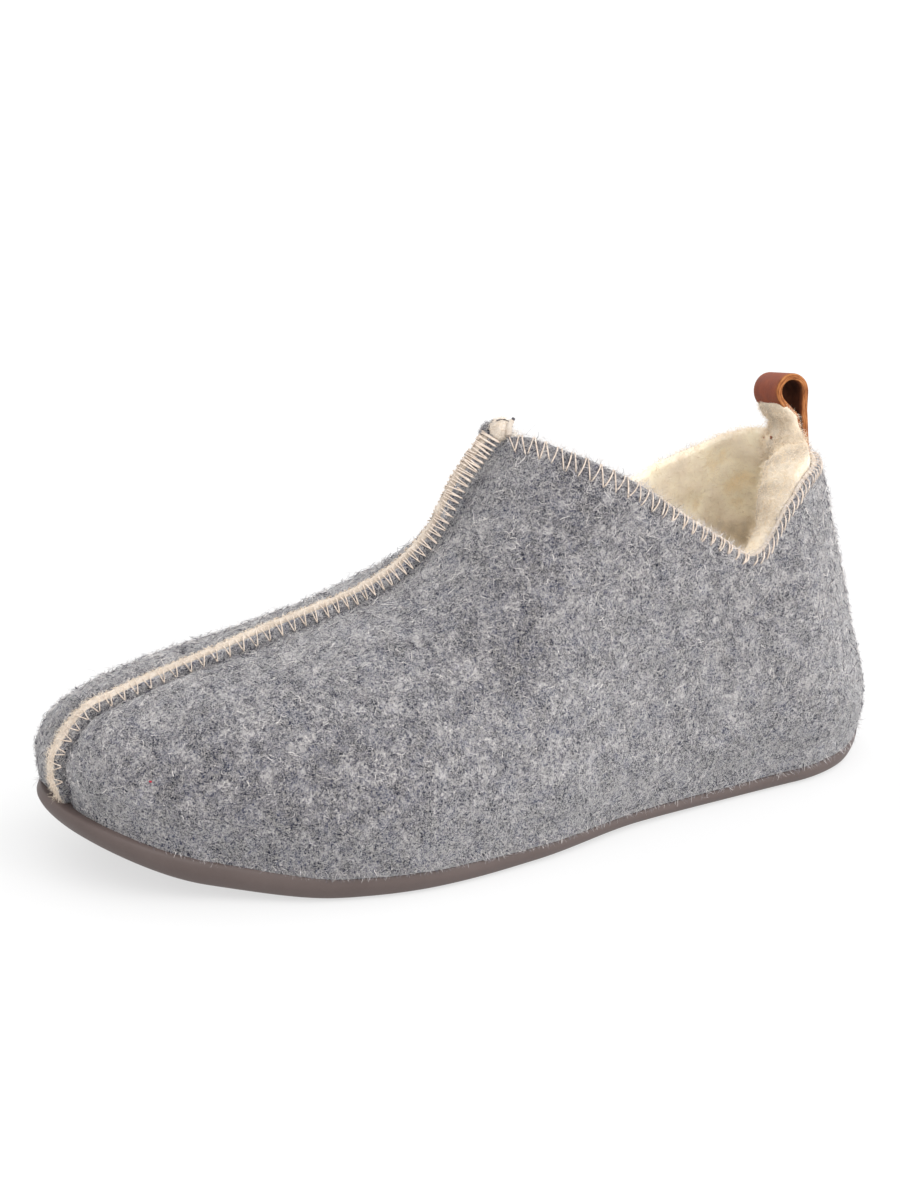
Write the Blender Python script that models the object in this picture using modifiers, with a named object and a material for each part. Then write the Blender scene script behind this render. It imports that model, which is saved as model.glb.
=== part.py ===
"""Felt bootie slipper for the left foot, standing on its sole.

Metres, +Z up. The sections below are worked out with the heel of the sole at x = 0, the toe at
x = SOLE_LENGTH and +Y on the wearer's left, which is the outer side of this foot. At the end the
whole slipper is shifted so that the origin is under the middle of its box, on the floor.
"""

import math

import bmesh
import bpy
import numpy as np
from mathutils import Matrix, Vector

# Driving dimensions
SOLE_LENGTH = 0.262
FELT_THICKNESS = 0.0030
CLEARANCE = 0.0003
INSOLE_THICKNESS = 0.0040

# How the ends of the sole outline are rounded, and how far the toe leans to the inner side
HEEL_ROUNDING = 0.034
TOE_ROUNDING_OUTER = 0.085
TOE_ROUNDING_INNER = 0.080
TOE_ROUNDING_POWER = 2.2
TOE_SKEW = 0.18

# Sole outline seen from above: share of the length, half width on the outer and the inner side
PLAN_COLUMNS = ("share", "outer", "inner")
PLAN = (
    (0.00, 0.0305, 0.0305),
    (0.15, 0.0330, 0.0320),
    (0.35, 0.0400, 0.0300),
    (0.50, 0.0505, 0.0335),
    (0.64, 0.0545, 0.0405),
    (0.76, 0.0510, 0.0440),
    (0.90, 0.0445, 0.0440),
    (1.00, 0.0450, 0.0420),
)

# Sole seen from the side: share of the length, lift of the tread off the floor, height of the side wall
WALL_COLUMNS = ("share", "lift", "height")
WALL = (
    (0.00, 0.0012, 0.0066),
    (0.06, 0.0000, 0.0062),
    (0.20, 0.0000, 0.0058),
    (0.40, 0.0008, 0.0053),
    (0.58, 0.0000, 0.0070),
    (0.72, 0.0000, 0.0080),
    (0.86, 0.0042, 0.0085),
    (1.00, 0.0205, 0.0066),
)

# Rounded side of the sole, from the tread up: share of the wall height, inset from the outline
SOLE_SIDE = ((0.00, 0.0042), (0.10, 0.0020), (0.30, 0.0007), (0.60, 0.0000), (0.88, 0.0004), (1.00, 0.0016))

# Vamp seam seen from the side, from the throat peak to the toe box: share of the length, height, how
# square the sections are in height and in width, and the swell beside the seam as a share of the height
VAMP_COLUMNS = ("share", "height", "roundness", "crown", "outer_swell", "inner_swell")
VAMP = (
    (0.465, 0.1145, 1.75, 1.50, 0.00, 0.00),
    (0.500, 0.1018, 1.75, 1.50, 0.00, 0.00),
    (0.545, 0.0848, 1.85, 1.58, 0.01, 0.04),
    (0.590, 0.0750, 1.95, 1.66, 0.01, 0.06),
    (0.640, 0.0690, 2.05, 1.75, 0.02, 0.065),
    (0.740, 0.0620, 2.15, 1.88, 0.02, 0.06),
    (0.855, 0.0562, 2.20, 1.95, 0.02, 0.06),
    (0.920, 0.0510, 2.20, 2.00, 0.02, 0.06),
)
TOE_FRONT_POWER = 2.5
TOE_FRONT_DROP = 0.7
TOE_SETBACK = 0.0055
INNER_TOE_ADVANCE = 0.0045
INNER_TOE_REACH = 0.018

# Collar edge seen from the side: share of the length, height on the outer and the inner side
COLLAR_COLUMNS = ("share", "outer", "inner")
COLLAR = (
    (0.000, 0.0975, 0.0975),
    (0.050, 0.0962, 0.0960),
    (0.100, 0.0900, 0.0925),
    (0.172, 0.0762, 0.0866),
    (0.215, 0.0828, 0.0832),
    (0.275, 0.0930, 0.0812),
    (0.330, 0.1025, 0.0905),
    (0.420, 0.1120, 0.1085),
    (0.465, 0.1145, 0.1145),
)

# Back of the heel seen from the side: height, how far it lies in front of the sole's heel
HEEL_LINE_COLUMNS = ("height", "forward")
HEEL_LINE = (
    (0.006, -0.0008),
    (0.017, -0.0034),
    (0.045, 0.0030),
    (0.075, 0.0104),
    (0.104, 0.0180),
)
FELT_OVERHANG = 0.0022
OVERHANG_HEIGHT = 0.016

# Raised seam along the vamp: two felt flanges with a channel between them, and the strip in the channel
FLANGE_HALF_WIDTH = 0.0029
FLANGE_HEIGHT = 0.0030
CHANNEL_HALF_WIDTH = 0.0017
CHANNEL_DEPTH = 0.0016
STRIP_PROUD = 0.0010
EDGE_SOFTENING = 0.0006
SEAM_ROOT = 0.0016
SEAM_END_RISE = 0.0030
SEAM_TOE_END = 0.04
SEAM_TOE_TAPER = 0.006
SEAM_TOE_HEIGHT = 0.6

# Leather pull loop at the heel: a strap doubled back on itself, its tail inside the felt
STRAP_WIDTH = 0.0145
STRAP_THICKNESS = 0.0020
LOOP_OUTER_RADIUS = 0.0056
LOOP_CENTRE_HEIGHT = 0.0182
LOOP_CLOSING_ANGLE = math.radians(-50)
LOOP_BEND_HEIGHT = 0.0025
LOOP_TAIL = 0.010
TAIL_LEAN = math.radians(15)
LOOP_LEAN = math.radians(-8)
LOOP_TILT = math.radians(12)
LOOP_SEAT = 0.0019

# Grid of the faceted solids
SOLE_STATIONS = 36
UPPER_HEEL_STATIONS = 10
UPPER_ANKLE_STATIONS = 12
VAMP_STATIONS = 20
TOE_STATIONS = 10
UPPER_ROWS = 13
LOOP_ARC_STEPS = 20


def column(table, names, name):
    """One named column of a table."""
    return [row[names.index(name)] for row in table]


def smooth(xs, ys, at):
    """A curve through (xs, ys) that never overshoots a row: cubic pieces with limited slopes."""
    xs, ys, at = (np.asarray(values, float) for values in (xs, ys, at))
    step = np.diff(xs)
    slope = np.diff(ys) / step
    tangent = np.concatenate([slope[:1], np.zeros(len(xs) - 2), slope[-1:]])
    for k in range(1, len(xs) - 1):
        if slope[k - 1] * slope[k] > 0:
            before, after = 2 * step[k] + step[k - 1], step[k] + 2 * step[k - 1]
            tangent[k] = (before + after) / (before / slope[k - 1] + after / slope[k])
    k = np.clip(np.searchsorted(xs, at) - 1, 0, len(xs) - 2)
    t = (np.clip(at, xs[0], xs[-1]) - xs[k]) / step[k]
    start = (2 * t**3 - 3 * t**2 + 1) * ys[k] + (t**3 - 2 * t**2 + t) * step[k] * tangent[k]
    end = (3 * t**2 - 2 * t**3) * ys[k + 1] + (t**3 - t**2) * step[k] * tangent[k + 1]
    return start + end


def along_length(table, names, name, x):
    """A column of a table whose rows stand at shares of the sole length, read at x."""
    return smooth(column(table, names, "share"), column(table, names, name), x / SOLE_LENGTH)


def ease(t):
    """A soft step from 0 to 1."""
    t = np.clip(t, 0, 1)
    return t * t * (3 - 2 * t)


def quarter(distance, length, power=2.0):
    """Rounds an end: 0 at the tip, 1 from the given length on, as a quarter of a superellipse."""
    share = np.clip(distance / length, 0, 1)
    return (1 - (1 - share) ** power) ** (1 / power)


def side_name(side):
    return "outer" if side > 0 else "inner"


def half_width(x, side):
    """Half width of the sole outline at x; side is +1 for the outer and -1 for the inner side."""
    body = along_length(PLAN, PLAN_COLUMNS, side_name(side), x)
    toe = TOE_ROUNDING_OUTER if side > 0 else TOE_ROUNDING_INNER
    return body * quarter(x, HEEL_ROUNDING) * quarter(SOLE_LENGTH - x, toe, TOE_ROUNDING_POWER)


def skewed(x, y):
    """Moves x so that the front half leans to the inner side, as the big toe does."""
    return x - TOE_SKEW * y * ease(2 * x / SOLE_LENGTH - 1)


def set_back(x, setback):
    """Moves x back by a growing part of the setback, from none at the throat to all of it at the toe."""
    return x - setback * ease((x - THROAT_X) / (SOLE_LENGTH - THROAT_X)) ** 2


def tread_lift(x):
    """Height of the tread above the floor."""
    return along_length(WALL, WALL_COLUMNS, "lift", x)


def feather_height(x):
    """Height of the sole's top edge, where the felt begins."""
    return tread_lift(x) + along_length(WALL, WALL_COLUMNS, "height", x)


THROAT_X = VAMP[0][0] * SOLE_LENGTH
THROAT_HEIGHT = VAMP[0][1]
TOE_BOX_X = VAMP[-1][0] * SOLE_LENGTH
FELT_TOE_X = SOLE_LENGTH - TOE_SETBACK


def vamp_slope(first, second):
    """Rise of the vamp line from one row of its table to the next, per metre of length."""
    run = (VAMP[second][0] - VAMP[first][0]) * SOLE_LENGTH
    return (VAMP[second][1] - VAMP[first][1]) / run


def roof_height(x):
    """Height of the vamp's middle line. Behind the throat it goes on up, and the collar cuts it off."""
    vamp = along_length(VAMP, VAMP_COLUMNS, "height", x)
    behind = THROAT_HEIGHT + vamp_slope(0, 1) * (x - THROAT_X)
    top = VAMP[-1][1] + TOE_FRONT_DROP * vamp_slope(-2, -1) * (x - TOE_BOX_X)
    foot = feather_height(x)
    to_tip = np.clip((FELT_TOE_X - x) / (FELT_TOE_X - TOE_BOX_X), 0, 1)
    toe_front = foot + (top - foot) * quarter(to_tip, 1, TOE_FRONT_POWER)
    return np.where(x < THROAT_X, behind, np.where(x > TOE_BOX_X, toe_front, vamp))


def heel_forward(height):
    """How far the back of the heel lies in front of the sole's heel at a height."""
    heights = column(HEEL_LINE, HEEL_LINE_COLUMNS, "height")
    return smooth(heights, column(HEEL_LINE, HEEL_LINE_COLUMNS, "forward"), height)


def upper_point(x, row, side):
    """Point of the felt's outside: x names the section, row runs from 0 at the sole to 1 at the top edge."""
    section_x = set_back(x, TOE_SETBACK)
    plan = half_width(x, side)
    forward_share = ease((x - THROAT_X) / (SOLE_LENGTH - THROAT_X)) ** 4
    advance = INNER_TOE_ADVANCE * forward_share if side < 0 else 0.0

    def placed(width):
        return skewed(section_x, side * width) + advance * ease(width / INNER_TOE_REACH)

    foot = feather_height(placed(plan)) + CLEARANCE
    roof = roof_height(section_x) + CLEARANCE
    roundness = along_length(VAMP, VAMP_COLUMNS, "roundness", section_x)
    crown = along_length(VAMP, VAMP_COLUMNS, "crown", section_x)
    swell = along_length(VAMP, VAMP_COLUMNS, side_name(side) + "_swell", section_x)
    collar = along_length(COLLAR, COLLAR_COLUMNS, side_name(side), x)
    reach = np.clip((collar - foot) / (roof - foot + 1e-9), 0, 1)
    last_angle = np.where(x < THROAT_X, np.arcsin(reach ** (roundness / 2)), math.pi / 2)
    angle = row * last_angle
    turn = angle / (math.pi / 2)
    rise = np.sin(angle) ** (2 / roundness) + swell * 6.75 * turn**2 * (1 - turn)
    height = foot + (roof - foot) * rise
    bulge = FELT_OVERHANG * ease((height - feather_height(section_x)) / OVERHANG_HEIGHT)
    ends = quarter(x, HEEL_ROUNDING) * quarter(SOLE_LENGTH - x, TOE_ROUNDING_INNER)
    width = (plan + bulge * ends) * np.clip(np.cos(angle), 0, 1) ** (2 / crown)
    back = heel_forward(height) * (1 - ease(x / THROAT_X))
    toe = bulge * forward_share
    return np.stack([placed(width) + back + toe, side * width, height], axis=-1)


def cosine_steps(start, end, count):
    """Values from start to end, close together at both ends."""
    return start + (end - start) * (1 - np.cos(math.pi * np.linspace(0, 1, count + 1))) / 2


def sine_steps(start, end, count):
    """Values from start to end, close together at the end."""
    return start + (end - start) * np.sin(math.pi / 2 * np.linspace(0, 1, count + 1))


def front_steps(last=0.0):
    """Stations from the throat to the toe; over the toe front they step down by nearly equal heights."""
    vamp = cosine_steps(THROAT_X, TOE_BOX_X, VAMP_STATIONS)
    left = np.linspace(1, last, TOE_STATIONS + 1)[1:]
    return np.concatenate([vamp, SOLE_LENGTH - (SOLE_LENGTH - TOE_BOX_X) * left**TOE_FRONT_POWER])


def material(name, colour, roughness):
    """A plain finish in the colour of the piece."""
    finish = bpy.data.materials.new(name)
    finish.use_nodes = True
    shader = finish.node_tree.nodes["Principled BSDF"]
    shader.inputs["Base Color"].default_value = (*colour, 1)
    shader.inputs["Roughness"].default_value = roughness
    return finish


def link(name, data, collection, parent):
    """Puts a mesh or curve into the scene as one named piece of the slipper."""
    piece = bpy.data.objects.new(name, data)
    collection.objects.link(piece)
    piece.parent = parent
    return piece


def mesh_from_grids(name, grids, caps=()):
    """Joins grids of points, rows by columns, into one mesh; points that coincide are welded."""
    bm = bmesh.new()
    for grid in grids:
        rows = [[bm.verts.new(point) for point in row] for row in grid]
        for lower, upper in zip(rows, rows[1:]):
            for k in range(len(lower) - 1):
                bm.faces.new((lower[k], lower[k + 1], upper[k + 1], upper[k]))
    for cap in caps:
        bm.faces.new([bm.verts.new(point) for point in cap])
    bmesh.ops.remove_doubles(bm, verts=bm.verts, dist=1e-6)
    bmesh.ops.dissolve_degenerate(bm, edges=bm.edges, dist=1e-7)
    bmesh.ops.recalc_face_normals(bm, faces=bm.faces)
    mesh = bpy.data.meshes.new(name)
    bm.to_mesh(mesh)
    bm.free()
    mesh.shade_smooth()
    mesh.set_sharp_from_angle(angle=math.radians(50))
    return mesh


def outline(inset, setback=0.0):
    """The sole outline moved in, and back at the toe: round the outer side to the toe and back on the inner."""
    x = cosine_steps(0, SOLE_LENGTH, SOLE_STATIONS)
    outer, inner = half_width(x, 1), -half_width(x, -1)
    x = np.concatenate([x, x[-2:0:-1]])
    y = np.concatenate([outer, inner[-2:0:-1]])
    points = np.stack([skewed(set_back(x, setback), y), y], axis=-1)
    along = np.roll(points, -1, axis=0) - np.roll(points, 1, axis=0)
    inward = np.stack([along[:, 1], -along[:, 0]], axis=-1)
    return points + inset * inward / np.linalg.norm(inward, axis=1, keepdims=True)


def lofted_slab(name, levels, setback=0.0):
    """A closed slab through levels, each an inset of the outline and a height for every x."""
    rings = []
    for inset, height in levels:
        points = outline(inset, setback)
        ring = np.column_stack([points, height(points[:, 0])])
        rings.append(np.vstack([ring, ring[:1]]))
    faces = [[ring[: SOLE_STATIONS + 1], ring[: SOLE_STATIONS - 1 : -1]] for ring in (rings[0], rings[-1])]
    return mesh_from_grids(name, (rings, *faces))


def make_outsole(collection, parent):
    """One rubber sole with a rounded side wall, toe spring and a shallow waist."""

    def level(rise):
        return lambda x: tread_lift(x) + rise * (feather_height(x) - tread_lift(x))

    mesh = lofted_slab("outsole", [(inset, level(rise)) for rise, inset in SOLE_SIDE])
    mesh.materials.append(material("outsole_rubber", (0.185, 0.156, 0.153), 0.6))
    return link("outsole", mesh, collection, parent)


def make_insole(collection, parent):
    """The wool-covered footbed, lying on the sole inside the felt."""
    inset = FELT_THICKNESS + 4 * CLEARANCE
    soft_edge = 0.25 * INSOLE_THICKNESS

    def level(rise):
        return lambda x: feather_height(x) + CLEARANCE + rise * INSOLE_THICKNESS

    sides = ((0.0, soft_edge), (0.3, 0.0), (0.7, 0.0), (1.0, soft_edge))
    mesh = lofted_slab("insole", [(inset + tuck, level(rise)) for rise, tuck in sides], TOE_SETBACK)
    mesh.materials.append(material("insole_wool", (0.62, 0.50, 0.35), 0.95))
    return link("insole", mesh, collection, parent)


def upper_grids():
    """The felt's outside as two grids, sole to top edge by heel to toe, one for each side."""
    lowest = min(COLLAR, key=lambda row: row[1])[0] * SOLE_LENGTH
    heel = lowest - sine_steps(0, lowest, UPPER_HEEL_STATIONS)[::-1]
    ankle = sine_steps(lowest, THROAT_X, UPPER_ANKLE_STATIONS)
    x = np.concatenate([heel, ankle[1:], front_steps()[1:]])
    row = np.linspace(0, 1, UPPER_ROWS + 1)
    return [upper_point(x[None, :], row[:, None], side) for side in (1, -1)]


def seam_path():
    """The vamp's middle line from the throat to the sole: points, outward directions, share of full height."""
    x = front_steps(SEAM_TOE_END)
    points = upper_point(x, np.ones_like(x), 1)
    points[:, 1] = 0
    along = np.gradient(points, axis=0)
    along /= np.linalg.norm(along, axis=1, keepdims=True)
    outward = np.stack([-along[:, 2], 0 * along[:, 0], along[:, 0]], axis=-1)
    to_sole = points[:, 2] - points[-1, 2]
    share = SEAM_TOE_HEIGHT + (1 - SEAM_TOE_HEIGHT) * ease(to_sole / SEAM_TOE_TAPER)
    points[0] -= SEAM_END_RISE * along[0]
    return points, outward, share


def swept(name, profile):
    """A closed profile, in widths across the shoe and heights off the felt, carried along the vamp seam."""
    closed = np.array([*profile, profile[0]])
    across = closed[:, :1] * np.array([0.0, 1.0, 0.0])
    rise = closed[:, 1:]
    sections = []
    for point, outward, share in zip(*seam_path()):
        sections.append(point + across + np.where(rise > 0, rise * share, rise) * outward)
    return mesh_from_grids(name, [sections], caps=(sections[0][:-1], sections[-1][:-1]))


def mirrored(half):
    """A profile from its right half, listed from the bottom to the top."""
    return [*half, *[(-width, height) for width, height in reversed(half)]]


def make_upper(collection, cutters, parent):
    """The felt wall from sole to collar, with the two flanges of its raised vamp seam."""
    mesh = mesh_from_grids("upper", upper_grids())
    mesh.materials.append(material("upper_felt", (0.29, 0.28, 0.29), 0.95))
    wall = link("upper", mesh, collection, parent)
    thickness = wall.modifiers.new("felt_thickness", "SOLIDIFY")
    thickness.thickness = FELT_THICKNESS
    thickness.offset = -1
    thickness.use_even_offset = True
    flange_profile = mirrored(
        (
            (FLANGE_HALF_WIDTH, -SEAM_ROOT),
            (FLANGE_HALF_WIDTH, FLANGE_HEIGHT - EDGE_SOFTENING),
            (FLANGE_HALF_WIDTH - EDGE_SOFTENING, FLANGE_HEIGHT),
            (CHANNEL_HALF_WIDTH, FLANGE_HEIGHT),
            (CHANNEL_HALF_WIDTH, FLANGE_HEIGHT - CHANNEL_DEPTH),
        )
    )
    flanges = link("seam_flanges", swept("seam_flanges", flange_profile), cutters, parent)
    flanges.hide_render = True
    flanges.display_type = "WIRE"
    join = wall.modifiers.new("raised_seam", "BOOLEAN")
    join.operation = "UNION"
    join.solver = "EXACT"
    join.object = flanges
    return wall


def make_seam_strip(collection, parent):
    """The pale strip sewn between the two flanges, standing a little proud of them."""
    half = CHANNEL_HALF_WIDTH - CLEARANCE
    floor = FLANGE_HEIGHT - CHANNEL_DEPTH + CLEARANCE / SEAM_TOE_HEIGHT
    top = FLANGE_HEIGHT + STRIP_PROUD
    profile = mirrored(((half, floor), (half, top - EDGE_SOFTENING), (half - EDGE_SOFTENING, top)))
    mesh = swept("seam_strip", profile)
    mesh.materials.append(material("seam_strip_wool", (0.72, 0.58, 0.44), 0.9))
    return link("seam_strip", mesh, collection, parent)


def loop_outlines():
    """Side view of the pull loop, x forward of its rear face and y up from the collar: outside and eye."""
    angles = np.linspace(math.pi, LOOP_CLOSING_ANGLE, LOOP_ARC_STEPS + 1)
    centre = np.array([LOOP_OUTER_RADIUS, LOOP_CENTRE_HEIGHT])
    spoke = np.stack([np.cos(angles), np.sin(angles)], axis=-1)
    closing = np.array([math.sin(LOOP_CLOSING_ANGLE), -math.cos(LOOP_CLOSING_ANGLE)])

    def to_width(point, width):
        return point + closing * (width - point[0]) / closing[0]

    outside = centre + LOOP_OUTER_RADIUS * spoke
    doubled = 2 * STRAP_THICKNESS
    tail_back = -(LOOP_BEND_HEIGHT + LOOP_TAIL) * math.tan(TAIL_LEAN)
    tail = [
        (doubled, LOOP_BEND_HEIGHT),
        (doubled + tail_back, -LOOP_TAIL),
        (tail_back, -LOOP_TAIL),
        (0, LOOP_BEND_HEIGHT),
    ]
    outside = np.vstack([outside, to_width(outside[-1], doubled), tail])
    eye = centre + (LOOP_OUTER_RADIUS - STRAP_THICKNESS) * spoke
    eye = np.vstack([eye, to_width(eye[-1], STRAP_THICKNESS)])
    return outside, eye


def make_pull_loop(collection, parent):
    """A leather strap folded into a loop, standing in the collar at the back of the heel."""
    curve = bpy.data.curves.new("pull_loop", "CURVE")
    curve.dimensions = "2D"
    curve.fill_mode = "BOTH"
    curve.extrude = STRAP_WIDTH / 2
    for points in loop_outlines():
        spline = curve.splines.new("POLY")
        spline.points.add(len(points) - 1)
        spline.points.foreach_set("co", np.insert(points, [2, 2], (0, 1), axis=1).ravel())
        spline.use_cyclic_u = True
    curve.materials.append(material("pull_loop_leather", (0.25, 0.09, 0.055), 0.55))
    loop = link("pull_loop", curve, collection, parent)
    collar = COLLAR[0][1]
    bend = LOOP_BEND_HEIGHT * math.tan(TAIL_LEAN)
    seat = Vector((heel_forward(collar) + FELT_THICKNESS + LOOP_SEAT + bend, 0, collar))
    upright = Matrix.Rotation(math.pi / 2, 4, "X")
    turned = Matrix.Rotation(LOOP_TILT, 4, "X") @ Matrix.Rotation(LOOP_LEAN, 4, "Y")
    loop.matrix_local = Matrix.Translation(seat) @ turned @ upright
    weld = loop.modifiers.new("closed_caps", "WELD")
    weld.merge_threshold = 1e-5
    return loop


def box_bottom_centre(pieces):
    """Middle of the floor under the box round all the pieces."""
    bpy.context.view_layer.update()
    seen = bpy.context.evaluated_depsgraph_get()
    corners = []
    for piece in pieces:
        body = piece.evaluated_get(seen)
        mesh = body.to_mesh()
        corners.extend(body.matrix_world @ vertex.co for vertex in mesh.vertices)
        body.to_mesh_clear()
    low, high = (Vector(pick(axis) for axis in zip(*corners)) for pick in (min, max))
    return Vector(((low.x + high.x) / 2, (low.y + high.y) / 2, low.z))


def main():
    for leftover in list(bpy.data.objects):
        bpy.data.objects.remove(leftover)
    slipper = bpy.data.collections.new("bootie_slipper")
    cutters = bpy.data.collections.new("cutters")
    for collection in (slipper, cutters):
        bpy.context.scene.collection.children.link(collection)
    body = link("slipper_origin", None, slipper, None)
    pieces = [
        make_outsole(slipper, body),
        make_insole(slipper, body),
        make_upper(slipper, cutters, body),
        make_seam_strip(slipper, body),
        make_pull_loop(slipper, body),
    ]
    body.location = -box_bottom_centre(pieces)


main()
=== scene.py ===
import bmesh
import bpy
import numpy as np
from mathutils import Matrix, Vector


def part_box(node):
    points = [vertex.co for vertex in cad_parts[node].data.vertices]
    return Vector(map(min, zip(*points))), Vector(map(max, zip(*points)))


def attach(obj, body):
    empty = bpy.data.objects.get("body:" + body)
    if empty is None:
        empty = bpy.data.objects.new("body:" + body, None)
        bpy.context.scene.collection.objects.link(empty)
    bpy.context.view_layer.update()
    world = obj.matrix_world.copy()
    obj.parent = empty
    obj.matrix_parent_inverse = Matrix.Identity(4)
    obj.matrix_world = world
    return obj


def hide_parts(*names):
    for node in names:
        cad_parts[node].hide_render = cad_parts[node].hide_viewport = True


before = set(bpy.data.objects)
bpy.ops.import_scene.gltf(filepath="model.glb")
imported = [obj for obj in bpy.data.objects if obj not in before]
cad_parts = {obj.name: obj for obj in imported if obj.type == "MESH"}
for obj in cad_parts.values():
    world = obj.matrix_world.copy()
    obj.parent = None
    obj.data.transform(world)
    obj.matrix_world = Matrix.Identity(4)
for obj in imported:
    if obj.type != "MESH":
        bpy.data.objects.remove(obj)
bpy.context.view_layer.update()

# Heel of the sole, middle of the seam and the floor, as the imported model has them
soleLow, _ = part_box("outsole")
stripLow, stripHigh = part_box("seam_strip")
heelPlace = np.array([soleLow.x, (stripLow.y + stripHigh.y) / 2, 0.0])

halfTurn = np.pi
forwards = np.array([1.0, 0.0, 0.0])
outerWay = np.array([0.0, 1.0, 0.0])
upright = np.array([0.0, 0.0, 1.0])

# The last that sole and felt are built on
lastShape = {
    "length": 0.262,
    "clearance": 0.0003,
    "heelRounding": 0.034,
    "toeRounding": {1: 0.085, -1: 0.080},  # 1 is the outer side, -1 the inner
    "toeRoundingPower": 2.2,
    "toeSkew": 0.18,
    # share of the length, half width outside, half width inside
    "plan": (
        (0.00, 0.0305, 0.0305),
        (0.15, 0.0330, 0.0320),
        (0.35, 0.0400, 0.0300),
        (0.50, 0.0505, 0.0335),
        (0.64, 0.0545, 0.0405),
        (0.76, 0.0510, 0.0440),
        (0.90, 0.0445, 0.0440),
        (1.00, 0.0450, 0.0420),
    ),
    # share of the length, lift of the tread, height of the sole's wall
    "wall": (
        (0.00, 0.0024, 0.0096),
        (0.06, 0.0001, 0.0067),
        (0.20, 0.0000, 0.0058),
        (0.40, 0.0008, 0.0053),
        (0.58, 0.0000, 0.0070),
        (0.72, 0.0000, 0.0080),
        (0.86, 0.0042, 0.0085),
        (1.00, 0.0182, 0.0064),
    ),
}

# The felt bootie's form over the last
feltShape = {
    "thickness": 0.0030,
    # share of the length, height of the vamp line, roundness, crown, swell outside, swell inside
    "vamp": (
        (0.465, 0.1145, 1.75, 1.50, 0.00, 0.00),
        (0.500, 0.1018, 1.75, 1.50, 0.00, 0.00),
        (0.545, 0.0848, 1.85, 1.58, 0.01, 0.04),
        (0.590, 0.0750, 1.95, 1.66, 0.01, 0.06),
        (0.640, 0.0690, 2.05, 1.75, 0.02, 0.065),
        (0.740, 0.0620, 2.15, 1.88, 0.02, 0.06),
        (0.855, 0.0562, 2.20, 1.95, 0.02, 0.06),
        (0.920, 0.0510, 2.20, 2.00, 0.02, 0.06),
    ),
    # share of the length, collar height outside, collar height inside
    "collar": (
        (0.000, 0.0975, 0.0975),
        (0.050, 0.0962, 0.0960),
        (0.100, 0.0900, 0.0925),
        (0.172, 0.0762, 0.0866),
        (0.215, 0.0828, 0.0832),
        (0.275, 0.0930, 0.0812),
        (0.330, 0.1025, 0.0905),
        (0.420, 0.1130, 0.1085),
        (0.448, 0.1153, 0.1132),
        (0.465, 0.1145, 0.1145),
    ),
    # height, how far the heel's back lies in front of the sole's heel
    "heelLine": ((0.006, -0.0008), (0.017, -0.0034), (0.045, 0.0030), (0.075, 0.0104), (0.104, 0.0180)),
    "toeFrontPower": 2.5,
    "toeFrontDrop": 0.7,
    "toeSetback": 0.0055,
    "innerToeAdvance": 0.0045,
    "innerToeReach": 0.018,
    "overhang": 0.0022,
    "overhangHeight": 0.016,
    "toePower": 4,  # keeps the toe's own changes to its front
    "swellScale": 6.75,  # makes the swell's curve peak at 1
    "throatReach": 0.012,  # how far behind the throat the rows are evened out
    "core": (0.04, 0.20, 0.6),  # line that the felt faces away from: x from, x to, share of the height
}

length = lastShape["length"]
throatX = feltShape["vamp"][0][0] * length
throatHeight = feltShape["vamp"][0][1]
toeBoxX = feltShape["vamp"][-1][0] * length
feltToeX = length - feltShape["toeSetback"]


# Curves and the last

def readTable(rows, column, at):
    # cubic pieces through the rows, with slopes limited so that the curve never overshoots a row
    table = np.asarray(rows, float)
    xs, ys = table[:, 0], table[:, column]
    at = np.asarray(at, float)
    step = np.diff(xs)
    slope = np.diff(ys) / step
    before, after = slope[:-1], slope[1:]
    same = before * after > 0
    weightA = 2 * step[1:] + step[:-1]
    weightB = step[1:] + 2 * step[:-1]
    safeBefore = np.where(same, before, 1.0)
    safeAfter = np.where(same, after, 1.0)
    inner = np.where(same, (weightA + weightB) / (weightA / safeBefore + weightB / safeAfter), 0.0)
    tangent = np.concatenate([slope[:1], inner, slope[-1:]])
    k = np.clip(np.searchsorted(xs, at) - 1, 0, len(xs) - 2)
    t = (np.clip(at, xs[0], xs[-1]) - xs[k]) / step[k]
    start = (2 * t**3 - 3 * t**2 + 1) * ys[k] + (t**3 - 2 * t**2 + t) * step[k] * tangent[k]
    end = (3 * t**2 - 2 * t**3) * ys[k + 1] + (t**3 - t**2) * step[k] * tangent[k + 1]
    return start + end


def ease(t):
    # soft step from 0 to 1
    t = np.clip(t, 0, 1)
    return t * t * (3 - 2 * t)


def quarter(distance, reach, power=2.0):
    # a quarter of a superellipse: 0 at the tip, 1 from the reach on
    share = np.clip(distance / reach, 0, 1)
    return (1 - (1 - share) ** power) ** (1 / power)


def rising(value, start, reach, least=0.0):
    # a soft step from the least value at the start up to 1; a negative reach rises towards smaller values
    return least + (1 - least) * ease((value - start) / reach)


def bothEnds(count):
    # shares from 0 to 1 in count steps, close together at both ends
    return (1 - np.cos(halfTurn * np.linspace(0, 1, count + 1))) / 2


def travelAlong(line):
    # distance of each point from the first, along the line
    return np.concatenate([[0], np.cumsum(np.linalg.norm(np.diff(line, axis=0), axis=1))])


def readLine(at, travel, line):
    # points of a line at the given distances along it
    return np.stack([np.interp(at, travel, line[:, k]) for k in range(line.shape[1])], axis=-1)


def collarLow(side):
    # x of the collar's lowest point on one side
    column = 1 if side > 0 else 2
    return min(feltShape["collar"], key=lambda row: row[column])[0] * length


def halfWidth(x, side):
    # the plan's half width, rounded off at the heel and the toe
    body = readTable(lastShape["plan"], 1 if side > 0 else 2, x / length)
    toe = quarter(length - x, lastShape["toeRounding"][side], lastShape["toeRoundingPower"])
    return body * quarter(x, lastShape["heelRounding"]) * toe


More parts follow.
